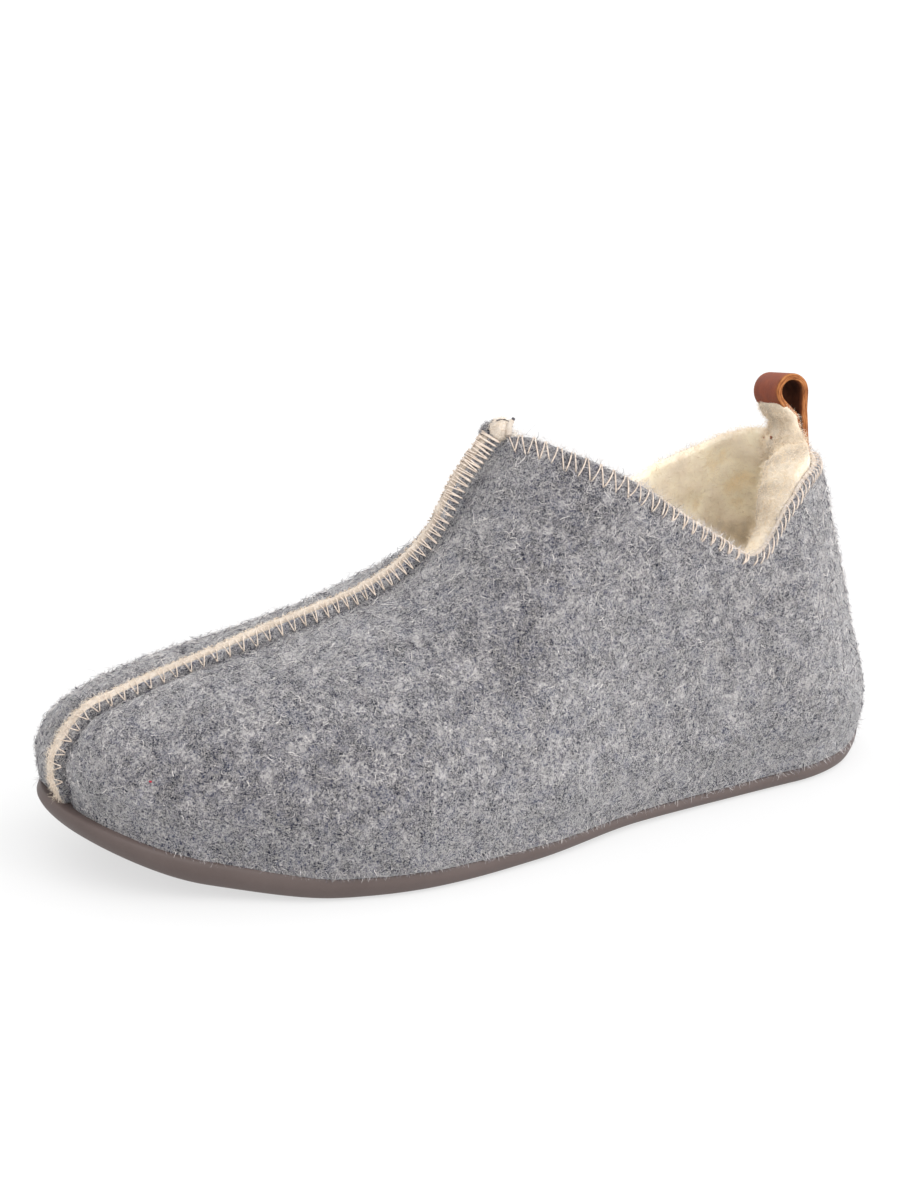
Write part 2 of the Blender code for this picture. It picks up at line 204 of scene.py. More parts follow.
def skewed(x, y):
    # the front half leans to the inner side by a share of y
    return x - lastShape["toeSkew"] * y * ease(2 * x / length - 1)


def setBack(x, setback):
    # moves x back by a growing part of the setback, from the throat to the toe
    return x - setback * ease((x - throatX) / (length - throatX)) ** 2


def treadLift(x):
    # height of the tread over the floor
    return readTable(lastShape["wall"], 1, x / length)


def featherHeight(x):
    # top edge of the sole
    return treadLift(x) + readTable(lastShape["wall"], 2, x / length)


def vampSlope(first, second):
    # rise over run between two rows of the vamp table
    a, b = feltShape["vamp"][first], feltShape["vamp"][second]
    return (b[1] - a[1]) / ((b[0] - a[0]) * length)


def roofHeight(x):
    # vamp line from its table; straight on up behind the throat; a superellipse down the toe front
    vamp = readTable(feltShape["vamp"], 1, x / length)
    behind = throatHeight + vampSlope(0, 1) * (x - throatX)
    top = feltShape["vamp"][-1][1] + feltShape["toeFrontDrop"] * vampSlope(-2, -1) * (x - toeBoxX)
    foot = featherHeight(x)
    toTip = np.clip((feltToeX - x) / (feltToeX - toeBoxX), 0, 1)
    toeFront = foot + (top - foot) * quarter(toTip, 1, feltShape["toeFrontPower"])
    return np.where(x < throatX, behind, np.where(x > toeBoxX, toeFront, vamp))


def sectionPoint(x, angle, side):
    # superelliptic section at x: angle 0 at the sole, a right angle at the vamp line
    sectionX = setBack(x, feltShape["toeSetback"])
    plan = halfWidth(x, side)
    forward = ease((x - throatX) / (length - throatX)) ** feltShape["toePower"]
    advance = feltShape["innerToeAdvance"] * forward * (side < 0)

    def placed(width):
        return skewed(sectionX, side * width) + advance * ease(width / feltShape["innerToeReach"])

    foot = featherHeight(placed(plan)) + lastShape["clearance"]
    roof = roofHeight(sectionX) + lastShape["clearance"]
    roundness = readTable(feltShape["vamp"], 2, sectionX / length)
    crown = readTable(feltShape["vamp"], 3, sectionX / length)
    swell = readTable(feltShape["vamp"], 4 if side > 0 else 5, sectionX / length)
    turn = angle / (halfTurn / 2)
    rise = np.sin(angle) ** (2 / roundness) + swell * feltShape["swellScale"] * turn**2 * (1 - turn)
    height = foot + (roof - foot) * rise
    bulge = feltShape["overhang"] * ease((height - featherHeight(sectionX)) / feltShape["overhangHeight"])
    ends = quarter(x, lastShape["heelRounding"]) * quarter(length - x, lastShape["toeRounding"][-1])
    width = (plan + bulge * ends) * np.clip(np.cos(angle), 0, 1) ** (2 / crown)
    back = readTable(feltShape["heelLine"], 1, height) * (1 - ease(x / throatX))
    ahead = placed(width) + back + bulge * forward
    return np.stack(np.broadcast_arrays(ahead, side * width, height), axis=-1)


def collarAngle(x, side, lift):
    # where the collar, raised by lift, cuts the section; the whole quarter turn in front of the throat
    plan = halfWidth(x, side)
    sectionX = setBack(x, feltShape["toeSetback"])
    foot = featherHeight(skewed(sectionX, side * plan)) + lastShape["clearance"]
    roof = roofHeight(sectionX) + lastShape["clearance"]
    collar = readTable(feltShape["collar"], 1 if side > 0 else 2, x / length) + lift
    roundness = readTable(feltShape["vamp"], 2, sectionX / length)
    reach = np.clip((collar - foot) / (roof - foot + 1e-9), 0, 1)
    return np.where(x < throatX, np.arcsin(reach ** (roundness / 2)), halfTurn / 2)


def feltPoint(x, row, side, lift=0.0):
    # row 0 at the sole, 1 at the collar or the vamp line; close behind the throat the lower rows keep nearer
    # to the vamp's quarter turn, so that the rows run on evenly there
    top = collarAngle(x, side, lift)
    even = top + (halfTurn / 2 - top) * (1 - ease((throatX - x) / feltShape["throatReach"]))
    return sectionPoint(x, row * even + (top - even) * row**3, side)


def unit(vectors):
    # vectors divided by their length
    size = np.linalg.norm(vectors, axis=-1, keepdims=True)
    return vectors / np.maximum(size, 1e-12)


def feltFrame(x, row, side):
    # point and outward direction: the cross product of small steps along x and along the row
    tiny = 1e-4
    point = feltPoint(x, row, side)
    alongX = feltPoint(x + tiny, row, side) - feltPoint(x - tiny, row, side)
    alongRow = feltPoint(x, np.minimum(row + tiny, 1), side) - feltPoint(x, row - 2 * tiny, side)
    outward = unit(np.cross(alongX, alongRow))
    coreFrom, coreTo, coreShare = feltShape["core"]
    ahead, _, high = np.moveaxis(point, -1, 0)
    core = np.stack([np.clip(ahead, coreFrom, coreTo), 0 * ahead, coreShare * high], axis=-1)
    facing = np.sum(outward * (point - core), axis=-1)
    return point, outward * np.where(facing < 0, -1.0, 1.0)[..., None]


noiseHash = {
    "shift": 37.0,
    "way": np.array([12.9898, 78.233, 37.719]),
    "seedStep": 4.137,
    "scale": 43758.5453,
}


def woolNoise(points, size, seed):
    # value noise from -1 to 1: hashed lattice corners of the given size, blended with soft steps
    scaled = points / size + noiseHash["shift"]
    cell = np.floor(scaled)
    blend = ease(scaled - cell)
    total = np.zeros(points.shape[:-1])
    for corner in np.ndindex(2, 2, 2):
        place = cell + np.array(corner)
        code = np.sin(place @ noiseHash["way"] + seed * noiseHash["seedStep"]) * noiseHash["scale"]
        weight = np.prod(np.where(np.array(corner) == 1, blend, 1 - blend), axis=-1)
        total += weight * (2 * (code - np.floor(code)) - 1)
    return total


# Meshes from arrays

weldReach = {"sheet": 2e-6, "sole": 1e-6, "thread": 1e-7}  # points closer than this become one


def makePiece(name, points, faces, finish, attributes=None, weld=0.0):
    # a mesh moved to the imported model's place, with its values per point; it rides on the root body
    mesh = bpy.data.meshes.new(name)
    flat = np.ascontiguousarray(points, float).reshape(-1, 3) + heelPlace
    corners = faces.shape[1]
    mesh.vertices.add(len(flat))
    mesh.vertices.foreach_set("co", flat.astype(np.float32).ravel())
    mesh.loops.add(faces.size)
    mesh.loops.foreach_set("vertex_index", faces.astype(np.int32).ravel())
    mesh.polygons.add(len(faces))
    mesh.polygons.foreach_set("loop_start", np.arange(0, faces.size, corners, dtype=np.int32))
    mesh.update(calc_edges=True)
    for label, values in (attributes or {}).items():
        layer = mesh.attributes.new(label, "FLOAT", "POINT")
        layer.data.foreach_set("value", np.ascontiguousarray(values, np.float32).ravel())
    if weld:
        shape = bmesh.new()
        shape.from_mesh(mesh)
        bmesh.ops.remove_doubles(shape, verts=shape.verts, dist=weld)
        bmesh.ops.dissolve_degenerate(shape, edges=shape.edges, dist=weld / 2)
        shape.to_mesh(mesh)
        shape.free()
    mesh.validate()
    mesh.shade_smooth()
    mesh.materials.append(finish)
    piece = bpy.data.objects.new(name, mesh)
    bpy.context.scene.collection.objects.link(piece)
    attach(piece, "root")
    print("made", name, "with", len(mesh.polygons), "faces")
    return piece


def gridFaces(rows, columns, closeRows=False, closeColumns=False, flip=False):
    # quads of a grid of rows by columns; a closed direction joins its last line to its first
    index = np.arange(rows * columns).reshape(rows, columns)
    if closeRows:
        index = np.vstack([index, index[:1]])
    if closeColumns:
        index = np.hstack([index, index[:, :1]])
    quads = np.stack([index[:-1, :-1], index[:-1, 1:], index[1:, 1:], index[1:, :-1]], axis=-1).reshape(-1, 4)
    return quads[:, ::-1] if flip else quads


def gridNormals(points):
    # outward directions of a grid, from the cross product of its two gradients
    return unit(np.cross(np.gradient(points, axis=1), np.gradient(points, axis=0)))


def ribbonFaces(count, steps):
    # quads of many separate ribbons, each a row of point pairs
    index = np.arange(count * steps * 2).reshape(count, steps, 2)
    quads = np.stack([index[:, :-1, 0], index[:, :-1, 1], index[:, 1:, 1], index[:, 1:, 0]], axis=-1)
    return quads.reshape(-1, 4)


def joinGrids(*parts):
    # several grids, each given with its own faces, as one set of points and faces
    shift, points, faces = 0, [], []
    for grid, quads in parts:
        points.append(grid.reshape(-1, 3))
        faces.append(quads + shift)
        shift += len(points[-1])
    return np.vstack(points), np.vstack(faces)


def overEdge(start, end, climb, turn):
    # from the start edge over to the end edge, at angles of half a turn, rising by climb on the way
    middle, arm = (start + end) / 2, (start - end) / 2
    return middle + np.cos(turn)[:, None, None] * arm + np.sin(turn)[:, None, None] * climb


def crossWays(ways):
    # two directions square to each given one and to each other
    steepest = 0.8
    helper = np.where(np.abs(ways[..., 2:]) < steepest, upright, forwards)
    first = unit(np.cross(ways, helper))
    return first, np.cross(ways, first)


def tubes(curves, radius, sides=6):
    # round threads along curves of shape (count, steps, 3); the ends are drawn to a point
    count, steps = curves.shape[:2]
    first, second = crossWays(unit(np.gradient(curves, axis=1)))
    taper = np.ones(steps)
    taper[[0, -1]] = 0.0
    radii = np.asarray(radius, float).reshape(count, -1) * taper
    angles = np.linspace(0, 2 * halfTurn, sides, endpoint=False)
    ring = np.cos(angles)[:, None] * first[:, :, None] + np.sin(angles)[:, None] * second[:, :, None]
    points = curves[:, :, None] + ring * radii[..., None, None]
    index = np.arange(count * steps * sides).reshape(count, steps, sides)
    rolled = np.roll(index, -1, axis=2)
    quads = np.stack([index[:, :-1], rolled[:, :-1], rolled[:, 1:], index[:, 1:]], axis=-1)
    return points, quads.reshape(-1, 4)


def scatter(points, count, seed, weight=None):
    # random places on a grid surface, even by area: roots and outward directions
    rng = np.random.default_rng(seed)
    a, b, c, d = points[:-1, :-1], points[:-1, 1:], points[1:, 1:], points[1:, :-1]
    across = np.cross(c - a, b - d)
    area = np.linalg.norm(across, axis=-1)
    if weight is not None:
        area = area * weight[:-1, :-1]
    share = np.cumsum(area.ravel())
    pick = np.searchsorted(share, rng.uniform(0, share[-1], count))
    pick = np.minimum(pick, area.size - 1)
    u = rng.uniform(0, 1, (count, 1))
    v = rng.uniform(0, 1, (count, 1))
    corner = [grid.reshape(-1, 3)[pick] for grid in (a, b, c, d)]
    roots = (1 - v) * ((1 - u) * corner[0] + u * corner[1]) + v * ((1 - u) * corner[3] + u * corner[2])
    return roots, unit(across.reshape(-1, 3)[pick])


fibreLook = {
    "droopSpread": (0.4, 1.2),  # least and greatest share of the droop
    "taper": 0.75,  # how much narrower the tip is
}


def fibres(roots, outward, spec):
    # each fibre is a narrow ribbon: it leaves the surface at its lift, turns by its curl and droops back
    rng = np.random.default_rng(spec["seed"])
    count, steps = len(roots), spec["steps"]
    first, second = crossWays(outward)
    share = np.linspace(0, 1, steps)
    reach = rng.uniform(*spec["length"], (count, 1))
    lift = np.radians(rng.uniform(*spec["lift"], (count, 1)))
    heading = rng.uniform(0, 2 * halfTurn, (count, 1)) + rng.normal(0, spec["curl"], (count, 1)) * share
    slope = lift - np.radians(spec["droop"]) * share * rng.uniform(*fibreLook["droopSpread"], (count, 1))
    flat = np.cos(heading)[..., None] * first[:, None] + np.sin(heading)[..., None] * second[:, None]
    way = np.cos(slope)[..., None] * flat + np.sin(slope)[..., None] * outward[:, None]
    stride = (reach / (steps - 1))[..., None] * way
    line = roots[:, None] + np.cumsum(stride, axis=1) - stride[:, :1] - spec["sink"] * outward[:, None]
    spin = rng.uniform(0, halfTurn, (count, 1, 1))
    broad = unit(np.cross(way, outward[:, None]))
    edge = np.cos(spin) * broad + np.sin(spin) * np.cross(way, broad)
    taper = (1 - fibreLook["taper"] * share**2)[None, :, None]
    width = rng.uniform(*spec["width"], (count, 1, 1)) * taper
    ribbons = np.stack([line - edge * width / 2, line + edge * width / 2], axis=2)
    tone = np.broadcast_to(rng.uniform(0, 1, (count, 1, 1)), (count, steps, 2))
    return ribbons, tone


# Finishes

floorShadeHeights = (0.008, 0.045)  # heights between which the painted shade near the floor fades out


def linear(red, green, blue):
    # a display colour from 0 to 255 as the linear colour that shaders take
    shown = np.array([red, green, blue]) / 255
    value = np.where(shown <= 0.04045, shown / 12.92, ((shown + 0.055) / 1.055) ** 2.4)
    return (*value.tolist(), 1.0)


class Finish:
    # a material with its shader nodes; most methods add nodes and give back what they put out

    def __init__(self, name, roughness, specular):
        self.material = bpy.data.materials.new(name)
        self.material.use_nodes = True
        self.tree = self.material.node_tree
        self.shader = self.tree.nodes["Principled BSDF"]
        self.put("Roughness", roughness)
        self.put("Specular IOR Level", specular)

    def feed(self, socket, value):
        # another node's output is linked, anything else is set
        if isinstance(value, bpy.types.NodeSocket):
            self.tree.links.new(value, socket)
        else:
            socket.default_value = value

    def put(self, label, value):
        self.feed(self.shader.inputs[label], value)

    def node(self, kind, inputs, output, **settings):
        made = self.tree.nodes.new("ShaderNode" + kind)
        for label, value in settings.items():
            setattr(made, label, value)
        for label, value in inputs.items():
            self.feed(made.inputs[label], value)
        return made.outputs[output]

    def place(self, shift=(0, 0, 0)):
        # the point in the piece's own coordinates
        coords = self.node("TexCoord", {}, "Object")
        return self.node("Mapping", {"Vector": coords, "Location": shift}, "Vector")

    def mark(self, name):
        # a value that the mesh carries per point
        return self.node("Attribute", {}, "Fac", attribute_name=name)

    def noise(self, place, scale, detail=3.0, distortion=0.0, roughness=0.55):
        inputs = {"Vector": place, "Scale": scale, "Detail": detail}
        inputs.update({"Distortion": distortion, "Roughness": roughness})
        return self.node("TexNoise", inputs, "Fac")

    def soft(self, value, low, high, toLow=0.0, toHigh=1.0):
        # a soft step from toLow to toHigh while the value goes from low to high
        inputs = {"Value": value, "From Min": low, "From Max": high, "To Min": toLow, "To Max": toHigh}
        return self.node("MapRange", inputs, "Result", interpolation_type="SMOOTHSTEP")

    def math(self, operation, first, second):
        return self.node("Math", {0: first, 1: second}, "Value", operation=operation)

    def times(self, first, second):
        return self.math("MULTIPLY", first, second)

    def plus(self, first, second):
        return self.math("ADD", first, second)

    def mix(self, share, first, second):
        # from the first colour to the second by the share
        return self.node("Mix", {0: share, 6: first, 7: second}, 2, data_type="RGBA")

    def ramp(self, value, stops):
        # display colours at their positions along the value
        made = self.tree.nodes.new("ShaderNodeValToRGB")
        elements = made.color_ramp.elements
        while len(elements) < len(stops):
            elements.new(0.5)
        for element, (position, colour) in zip(elements, stops):
            element.position = position
            element.color = linear(*colour)
        self.feed(made.inputs["Fac"], value)
        return made.outputs["Color"]

    def hairs(self, scale, width, shift):
        # thin curly lines: where a swirled noise crosses its middle value
        noise = self.noise(self.place(shift), scale, detail=1.5, distortion=1.2)
        away = self.math("ABSOLUTE", self.math("SUBTRACT", noise, 0.5), 0.0)
        return self.soft(away, 0.0, width, toLow=1.0, toHigh=0.0)

    def paintedFloorShade(self, place, amount):
        # painted shade: the amount at the floor, nothing a few centimetres up
        height = self.node("SeparateXYZ", {"Vector": place}, "Z")
        return self.soft(height, *floorShadeHeights, toLow=amount, toHigh=0.0)

    def relief(self, height, strength, distance):
        inputs = {"Height": height, "Strength": strength, "Distance": distance}
        self.put("Normal", self.node("Bump", inputs, "Normal"))


def feltFinish():
    # grey wool: soft blotches with a blue cast here and there, a fine mottle, light and dark hairs over it,
    # and painted shade near the floor and where the shade attribute marks a fold
    felt = Finish("greyFelt", roughness=0.95, specular=0.1)
    place = felt.place()
    blotch = felt.noise(place, scale=150, detail=3.0, roughness=0.6)
    mottle = felt.noise(place, scale=480, detail=3.0, roughness=0.7)
    fine = felt.noise(place, scale=1250, detail=2.0, roughness=0.7)
    coarse = felt.plus(felt.times(blotch, 0.31), felt.times(mottle, 0.30))
    mottled = felt.plus(coarse, felt.times(fine, 0.39))
    tone = felt.math("SUBTRACT", mottled, felt.paintedFloorShade(place, amount=0.026))
    wool = felt.ramp(tone, (
        (0.412, (20, 21, 34)),
        (0.474, (57, 58, 71)),
        (0.527, (110, 108, 116)),
        (0.588, (194, 190, 190)),
    ))
    cast = felt.soft(felt.noise(place, scale=190, detail=3.0), 0.48, 0.66, toLow=0.0, toHigh=0.4)
    tinted = felt.mix(cast, wool, linear(80, 85, 108))
    darkHair = felt.hairs(scale=900, width=0.05, shift=(0.5, 0.8, 0.3))
    dimmed = felt.mix(felt.times(darkHair, 0.6), tinted, linear(46, 48, 60))
    lightHair = felt.hairs(scale=820, width=0.04, shift=(0.3, 0.1, 0.7))
    fineHair = felt.hairs(scale=1300, width=0.05, shift=(0.9, 0.4, 0.2))
    hairs = felt.math("MAXIMUM", lightHair, fineHair)
    haired = felt.mix(felt.times(hairs, 0.7), dimmed, linear(214, 208, 204))
    # painted shade: the shade attribute darkens the wool towards a dark grey
    shade = felt.times(felt.mark("shade"), 0.75)
    felt.put("Base Color", felt.mix(shade, haired, linear(58, 58, 64)))
    felt.relief(felt.plus(felt.times(hairs, 0.6), fine), strength=0.8, distance=0.0006)
    felt.put("Sheen Weight", 1.0)
    felt.put("Sheen Roughness", 0.4)
    return felt.material


def feltHairFinish():
    # loose hairs of the felt, from blue grey to pale, with painted shade near the floor
    hair = Finish("feltHairs", roughness=0.9, specular=0.1)
    lowShade = hair.paintedFloorShade(hair.place(), amount=0.16)
    tone = hair.math("SUBTRACT", hair.mark("tone"), lowShade)
    hair.put("Base Color", hair.ramp(tone, (
        (0.0, (24, 26, 40)),
        (0.25, (66, 66, 79)),
        (0.48, (140, 137, 143)),
        (0.78, (206, 201, 200)),
        (1.0, (242, 236, 231)),
    )))
    return hair.material


def creamWoolFinish():
    # the felted strip in the seam: pale clouds with paler hairs
    wool = Finish("creamWool", roughness=0.95, specular=0.1)
    cloud = wool.noise(wool.place(), scale=260, detail=4.0, roughness=0.65)
    colour = wool.ramp(cloud, (
        (0.30, (188, 172, 157)),
        (0.50, (209, 196, 182)),
        (0.70, (222, 211, 199)),
    ))
    hairs = wool.hairs(scale=900, width=0.06, shift=(0.2, 0.6, 0.4))
    wool.put("Base Color", wool.mix(wool.times(hairs, 0.4), colour, linear(231, 221, 211)))
    wool.relief(wool.plus(cloud, hairs), strength=0.5, distance=0.0004)
    wool.put("Sheen Weight", 0.2)
    return wool.material


def threadFinish(name, low, high):
    # sewing thread with a fine twist, between two colours
    thread = Finish(name, roughness=0.85, specular=0.15)
    place = thread.place()
    cloud = thread.noise(place, scale=700, detail=2.0)
    thread.put("Base Color", thread.ramp(cloud, ((0.3, low), (0.7, high))))
    thread.relief(thread.noise(place, scale=2600, detail=1.0), strength=0.4, distance=0.0002)
    return thread.material


def fleeceFinish():
    # cream pile, darker and yellower between the clumps and deep inside: partly the pile's own colour, partly
    # painted shade in the hollows
    fleece = Finish("creamFleece", roughness=0.95, specular=0.1)
    place = fleece.place()
    cloud = fleece.noise(place, scale=75, detail=4.0, roughness=0.6)
    depth = fleece.plus(fleece.times(cloud, 0.55), fleece.times(fleece.mark("hollow"), 0.45))
    colour = fleece.ramp(depth, (
        (0.25, (186, 172, 154)),
        (0.45, (244, 231, 210)),
        (0.60, (255, 245, 221)),
        (0.80, (251, 222, 169)),
    ))
    hairs = fleece.hairs(scale=650, width=0.05, shift=(0.4, 0.7, 0.1))
    fleece.put("Base Color", fleece.mix(fleece.times(hairs, 0.2), colour, linear(248, 238, 222)))
    fine = fleece.noise(place, scale=900, detail=3.0)
    fleece.relief(fleece.plus(fine, hairs), strength=0.35, distance=0.0006)
    fleece.put("Sheen Weight", 0.3)
    return fleece.material


def fleeceHairFinish():
    # loose cream hairs, from yellowish to pale
    hair = Finish("fleeceHairs", roughness=0.9, specular=0.1)
    hair.put("Base Color", hair.ramp(hair.mark("tone"), (
        (0.0, (236, 214, 180)),
        (0.4, (240, 225, 203)),
        (1.0, (236, 225, 212)),
    )))
    return hair.material


def leatherFinish():
    # waxed brown face, raw orange edges streaked along the strap, darker flesh side
    leather = Finish("brownLeather", roughness=0.5, specular=0.12)
    place = leather.place()
    edge, flesh = leather.mark("edge"), leather.mark("flesh")
    cloud = leather.noise(place, scale=180, detail=4.0, roughness=0.6)
    face = leather.ramp(cloud, (
        (0.30, (112, 52, 34)),
        (0.52, (130, 66, 45)),
        (0.74, (146, 82, 58)),
    ))
    stretched = {"X": leather.times(leather.mark("along"), 0.12), "Y": leather.mark("across")}
    streakPlace = leather.node("CombineXYZ", stretched, "Vector")
    streak = leather.noise(streakPlace, scale=2200, detail=3.0, roughness=0.7)
    raw = leather.ramp(streak, (
        (0.34, (92, 48, 24)),
        (0.50, (146, 88, 48)),
        (0.66, (182, 124, 76)),
    ))
    under = leather.ramp(cloud, ((0.35, (58, 28, 16)), (0.65, (96, 52, 32))))
    leather.put("Base Color", leather.mix(edge, leather.mix(flesh, face, under), raw))
    grain = leather.node("TexVoronoi", {"Vector": place, "Scale": 1500}, "Distance")
    relief = leather.plus(leather.times(grain, 0.4), leather.times(streak, edge))
    leather.relief(relief, strength=0.35, distance=0.0003)
    waxed = leather.soft(cloud, 0.3, 0.7, toLow=0.45, toHigh=0.62)
    leather.put("Roughness", leather.math("MAXIMUM", waxed, flesh))
    return leather.material


def rubberFinish():
    # smooth taupe rubber with a faint bloom and scuffs
    rubber = Finish("taupeRubber", roughness=0.6, specular=0.4)
    place = rubber.place()
    cloud = rubber.noise(place, scale=45, detail=5.0, roughness=0.6)
    speck = rubber.noise(place, scale=900, detail=2.0)
    colour = rubber.ramp(cloud, (
        (0.30, (82, 70, 67)),
        (0.55, (90, 78, 75)),
        (0.75, (98, 86, 83)),
    ))
    rubber.put("Base Color", rubber.mix(rubber.times(speck, 0.12), colour, linear(114, 102, 98)))
    rubber.relief(speck, strength=0.12, distance=0.0003)
    rubber.put("Roughness", rubber.soft(cloud, 0.3, 0.7, toLow=0.5, toHigh=0.68))
    return rubber.material


greyFelt = feltFinish()
feltHairs = feltHairFinish()
creamWool = creamWoolFinish()
paleThread = threadFinish("paleThread", (200, 183, 168), (229, 215, 202))
darkThread = threadFinish("darkThread", (70, 68, 74), (96, 92, 96))
creamFleece = fleeceFinish()
fleeceHairs = fleeceHairFinish()
brownLeather = leatherFinish()
taupeRubber = rubberFinish()
print("finishes ready")

# Rubber sole
soleLook = {
    "stations": 150,
    "sideSteps": 16,
    "sideEven": 0.5,  # 1 keeps the wall's steps even, 0 draws them together at the tread
    "heelStep": 0.0018,  # how far the sole's edge stands out behind the felt's foot
    "topInset": 0.0075,  # how far in under the felt the top ledge is drawn
    "coverColumns": 8,
    "treadColumns": 60,
    "ribPitch": 0.0062,
    "ribDepth": 0.0007,
    "ribWave": (0.0025, 0.006),  # how far a rib swings, and over which width
    "ribCut": (0.35, 0.4),  # where on the cosine a groove begins, and its reach
    "ribBorder": 0.007,
    "ribFade": 0.004,
    # share of the wall height, inset from the outline
    "side": ((0.00, 0.0042), (0.10, 0.0020), (0.30, 0.0007), (0.60, 0.0000), (0.88, 0.0004), (1.00, 0.0016)),
}


def soleOutline(inset):
    # round the outer side to the toe and back on the inner side, moved in along the outline's own normal
    x = length * bothEnds(soleLook["stations"])
    outer, inner = halfWidth(x, 1), -halfWidth(x, -1)
    x = np.concatenate([x, x[-2:0:-1]])
    y = np.concatenate([outer, inner[-2:0:-1]])
    points = np.stack([skewed(x, y), y], axis=-1)
    points[:, 0] -= soleLook["heelStep"] * ease(1 - x / lastShape["heelRounding"])
    along = np.roll(points, -1, axis=0) - np.roll(points, 1, axis=0)
    inward = unit(np.stack([along[:, 1], -along[:, 0]], axis=-1))
    return points + inset * inward


def soleRing(rise, inset):
    # one level of the side wall, at a share of the wall's height
    flat = soleOutline(inset)
    low, high = treadLift(flat[:, 0]), featherHeight(flat[:, 0])
    return np.column_stack([flat, low + rise * (high - low)])


def bridged(ring, columns):
    # an outline filled from its outer to its inner side, and how far each point is from the nearer side
    half = soleLook["stations"]
    outer, inner = ring[: half + 1], np.vstack([ring[:1], ring[:half - 1:-1]])
    across = np.linspace(0, 1, columns + 1)[:, None, None]
    border = np.minimum(across, 1 - across)[..., 0] * np.linalg.norm(outer - inner, axis=-1)
    return (1 - across) * outer + across * inner, border


def treadRelief(points):
    # wavy ribs across the tread, as shallow grooves: the tops of a cosine along x
    swing, width = soleLook["ribWave"]
    wave = points[..., 0] + swing * np.sin(points[..., 1] / width)
    groove = rising(np.cos(2 * halfTurn * wave / soleLook["ribPitch"]), *soleLook["ribCut"])
    return soleLook["ribDepth"] * groove


def makeSole():
    # the side wall with its ledge, the tread with ribs that fade out before the border, and a cover on top
    share = np.linspace(0, 1, soleLook["sideSteps"] + 1)
    even = soleLook["sideEven"]
    rises = (1 - even) * (1 - np.cos(halfTurn / 2 * share)) + even * share
    insets = readTable(soleLook["side"], 1, rises)
    ledge = soleRing(1.0, soleLook["topInset"])
    wall = np.stack([soleRing(rise, inset) for rise, inset in zip(rises, insets)] + [ledge])
    tread, border = bridged(wall[0], soleLook["treadColumns"])
    tread[..., 2] += treadRelief(tread) * rising(border, soleLook["ribBorder"], soleLook["ribFade"])
    cover, _ = bridged(ledge, soleLook["coverColumns"])
    points, faces = joinGrids(
        (wall, gridFaces(*wall.shape[:2], closeColumns=True, flip=True)),
        (tread, gridFaces(*tread.shape[:2])),
        (cover, gridFaces(*cover.shape[:2], flip=True)),
    )
    sole = makePiece("rubber_sole", points, faces, taupeRubber, weld=weldReach["sole"])
    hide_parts("outsole")


makeSole()

# Felt upper
feltLook = {
    "heelStations": 44,
    "ankleStations": 60,
    "vampStations": 110,
    "toeStations": 44,
    "outsideRows": 104,
    "rowPower": 1.3,  # draws the rows together towards the collar and the seam
    "rimSteps": 6,
    "rimRound": 0.0011,
    "insideRows": 9,
    "inset": 0.0004,  # room for the loose wool
    "lump": 0.00028,  # soft unevenness of the boiled wool
    "lumpSize": 0.011,
    "grainHeight": 0.00016,
    "grainSize": 0.0026,
    "groovePlace": 0.0040,  # fold beside the raised seam, from its middle
    "grooveWidth": 0.0013,
    "grooveDepth": 0.0006,
    "valley": 0.0012,  # how far the sewing draws the seam in at the toe
    "valleyWidth": 0.0050,
    "grooveStart": 0.004,  # way from the throat over which the fold deepens
    "grooveCloser": (0.185, 0.05, 0.28),  # on the toe: x from, reach, share that it comes closer
    "valleyStart": (0.185, 0.042),  # x from, reach
    "middleGap": 1e-5,  # room that the inside keeps from the middle plane
    "climbRows": 4,
    # fuller inner side of the vamp: x, reach, y, reach, out
    "vampSide": (0.160, 0.022, -0.013, 0.008, 0.0016),
    # felt raised under the seam: x, reach, reach in y, out
    "ridge": (0.190, 0.025, 0.008, 0.0008),
    # fuller toe front: height, reach, out
    "chin": (0.033, 0.008, 0.0017),
    "chinStart": (0.236, 0.016),  # x from, reach
    "chinSide": (-0.012, 0.010, 0.2),  # y from, reach, share left on the inner side
    # share of the length, how far the felt's lower edge hangs down over the sole, and how far out
    "hang": (
        (0.00, 0.0004, 0.0003),
        (0.50, 0.0006, 0.0003),
        (0.75, 0.0010, 0.0006),
        (0.90, 0.0016, 0.0010),
        (0.98, 0.0022, 0.0008),
    ),
    "hangReach": 0.0040,
    # share of the length, height, reach along the shoe, reach in height, depth of the soft crease
    "creases": (
        (0.292, 0.0657, 0.0085, 0.0013, 0.0013),
        (0.245, 0.0600, 0.016, 0.0030, 0.0007),
        (0.470, 0.0500, 0.030, 0.0060, 0.0006),
        (0.560, 0.0560, 0.022, 0.0050, 0.0007),
        (0.700, 0.0330, 0.026, 0.0050, 0.0005),
        (0.120, 0.0300, 0.020, 0.0050, 0.0005),
    ),
    "hangSide": (-0.010, 0.012, 0.3),  # y from, reach, share of the way out left on the inner side
    # painted shade: in the small crease and in the fold beside the seam
    "creaseShade": (0.55, 0.4, 0.8),  # share of the deepest crease from which it is dark, reach, strength
    "foldShade": 0.45,  # strength in the fold beside the seam
    "foldShadeSteps": ((0.135, -0.15), (0.215, 0.35)),  # x from, change of that strength
    "foldShadeReach": 0.03,
}


def shoeStations():
    # x from heel to toe: close together at the heel, the collar's low point, the throat and the toe front
    low = collarLow(1)
    heel = low - low * np.sin(halfTurn / 2 * np.linspace(1, 0, feltLook["heelStations"] + 1))
    ankle = low + (throatX - low) * np.sin(halfTurn / 2 * np.linspace(0, 1, feltLook["ankleStations"] + 1))
    vamp = throatX + (toeBoxX - throatX) * bothEnds(feltLook["vampStations"])
    left = np.linspace(1, 0, feltLook["toeStations"] + 1)
    toe = length - (length - toeBoxX) * left ** feltShape["toeFrontPower"]
    return np.concatenate([heel, ankle[1:], vamp[1:], toe[1:]])


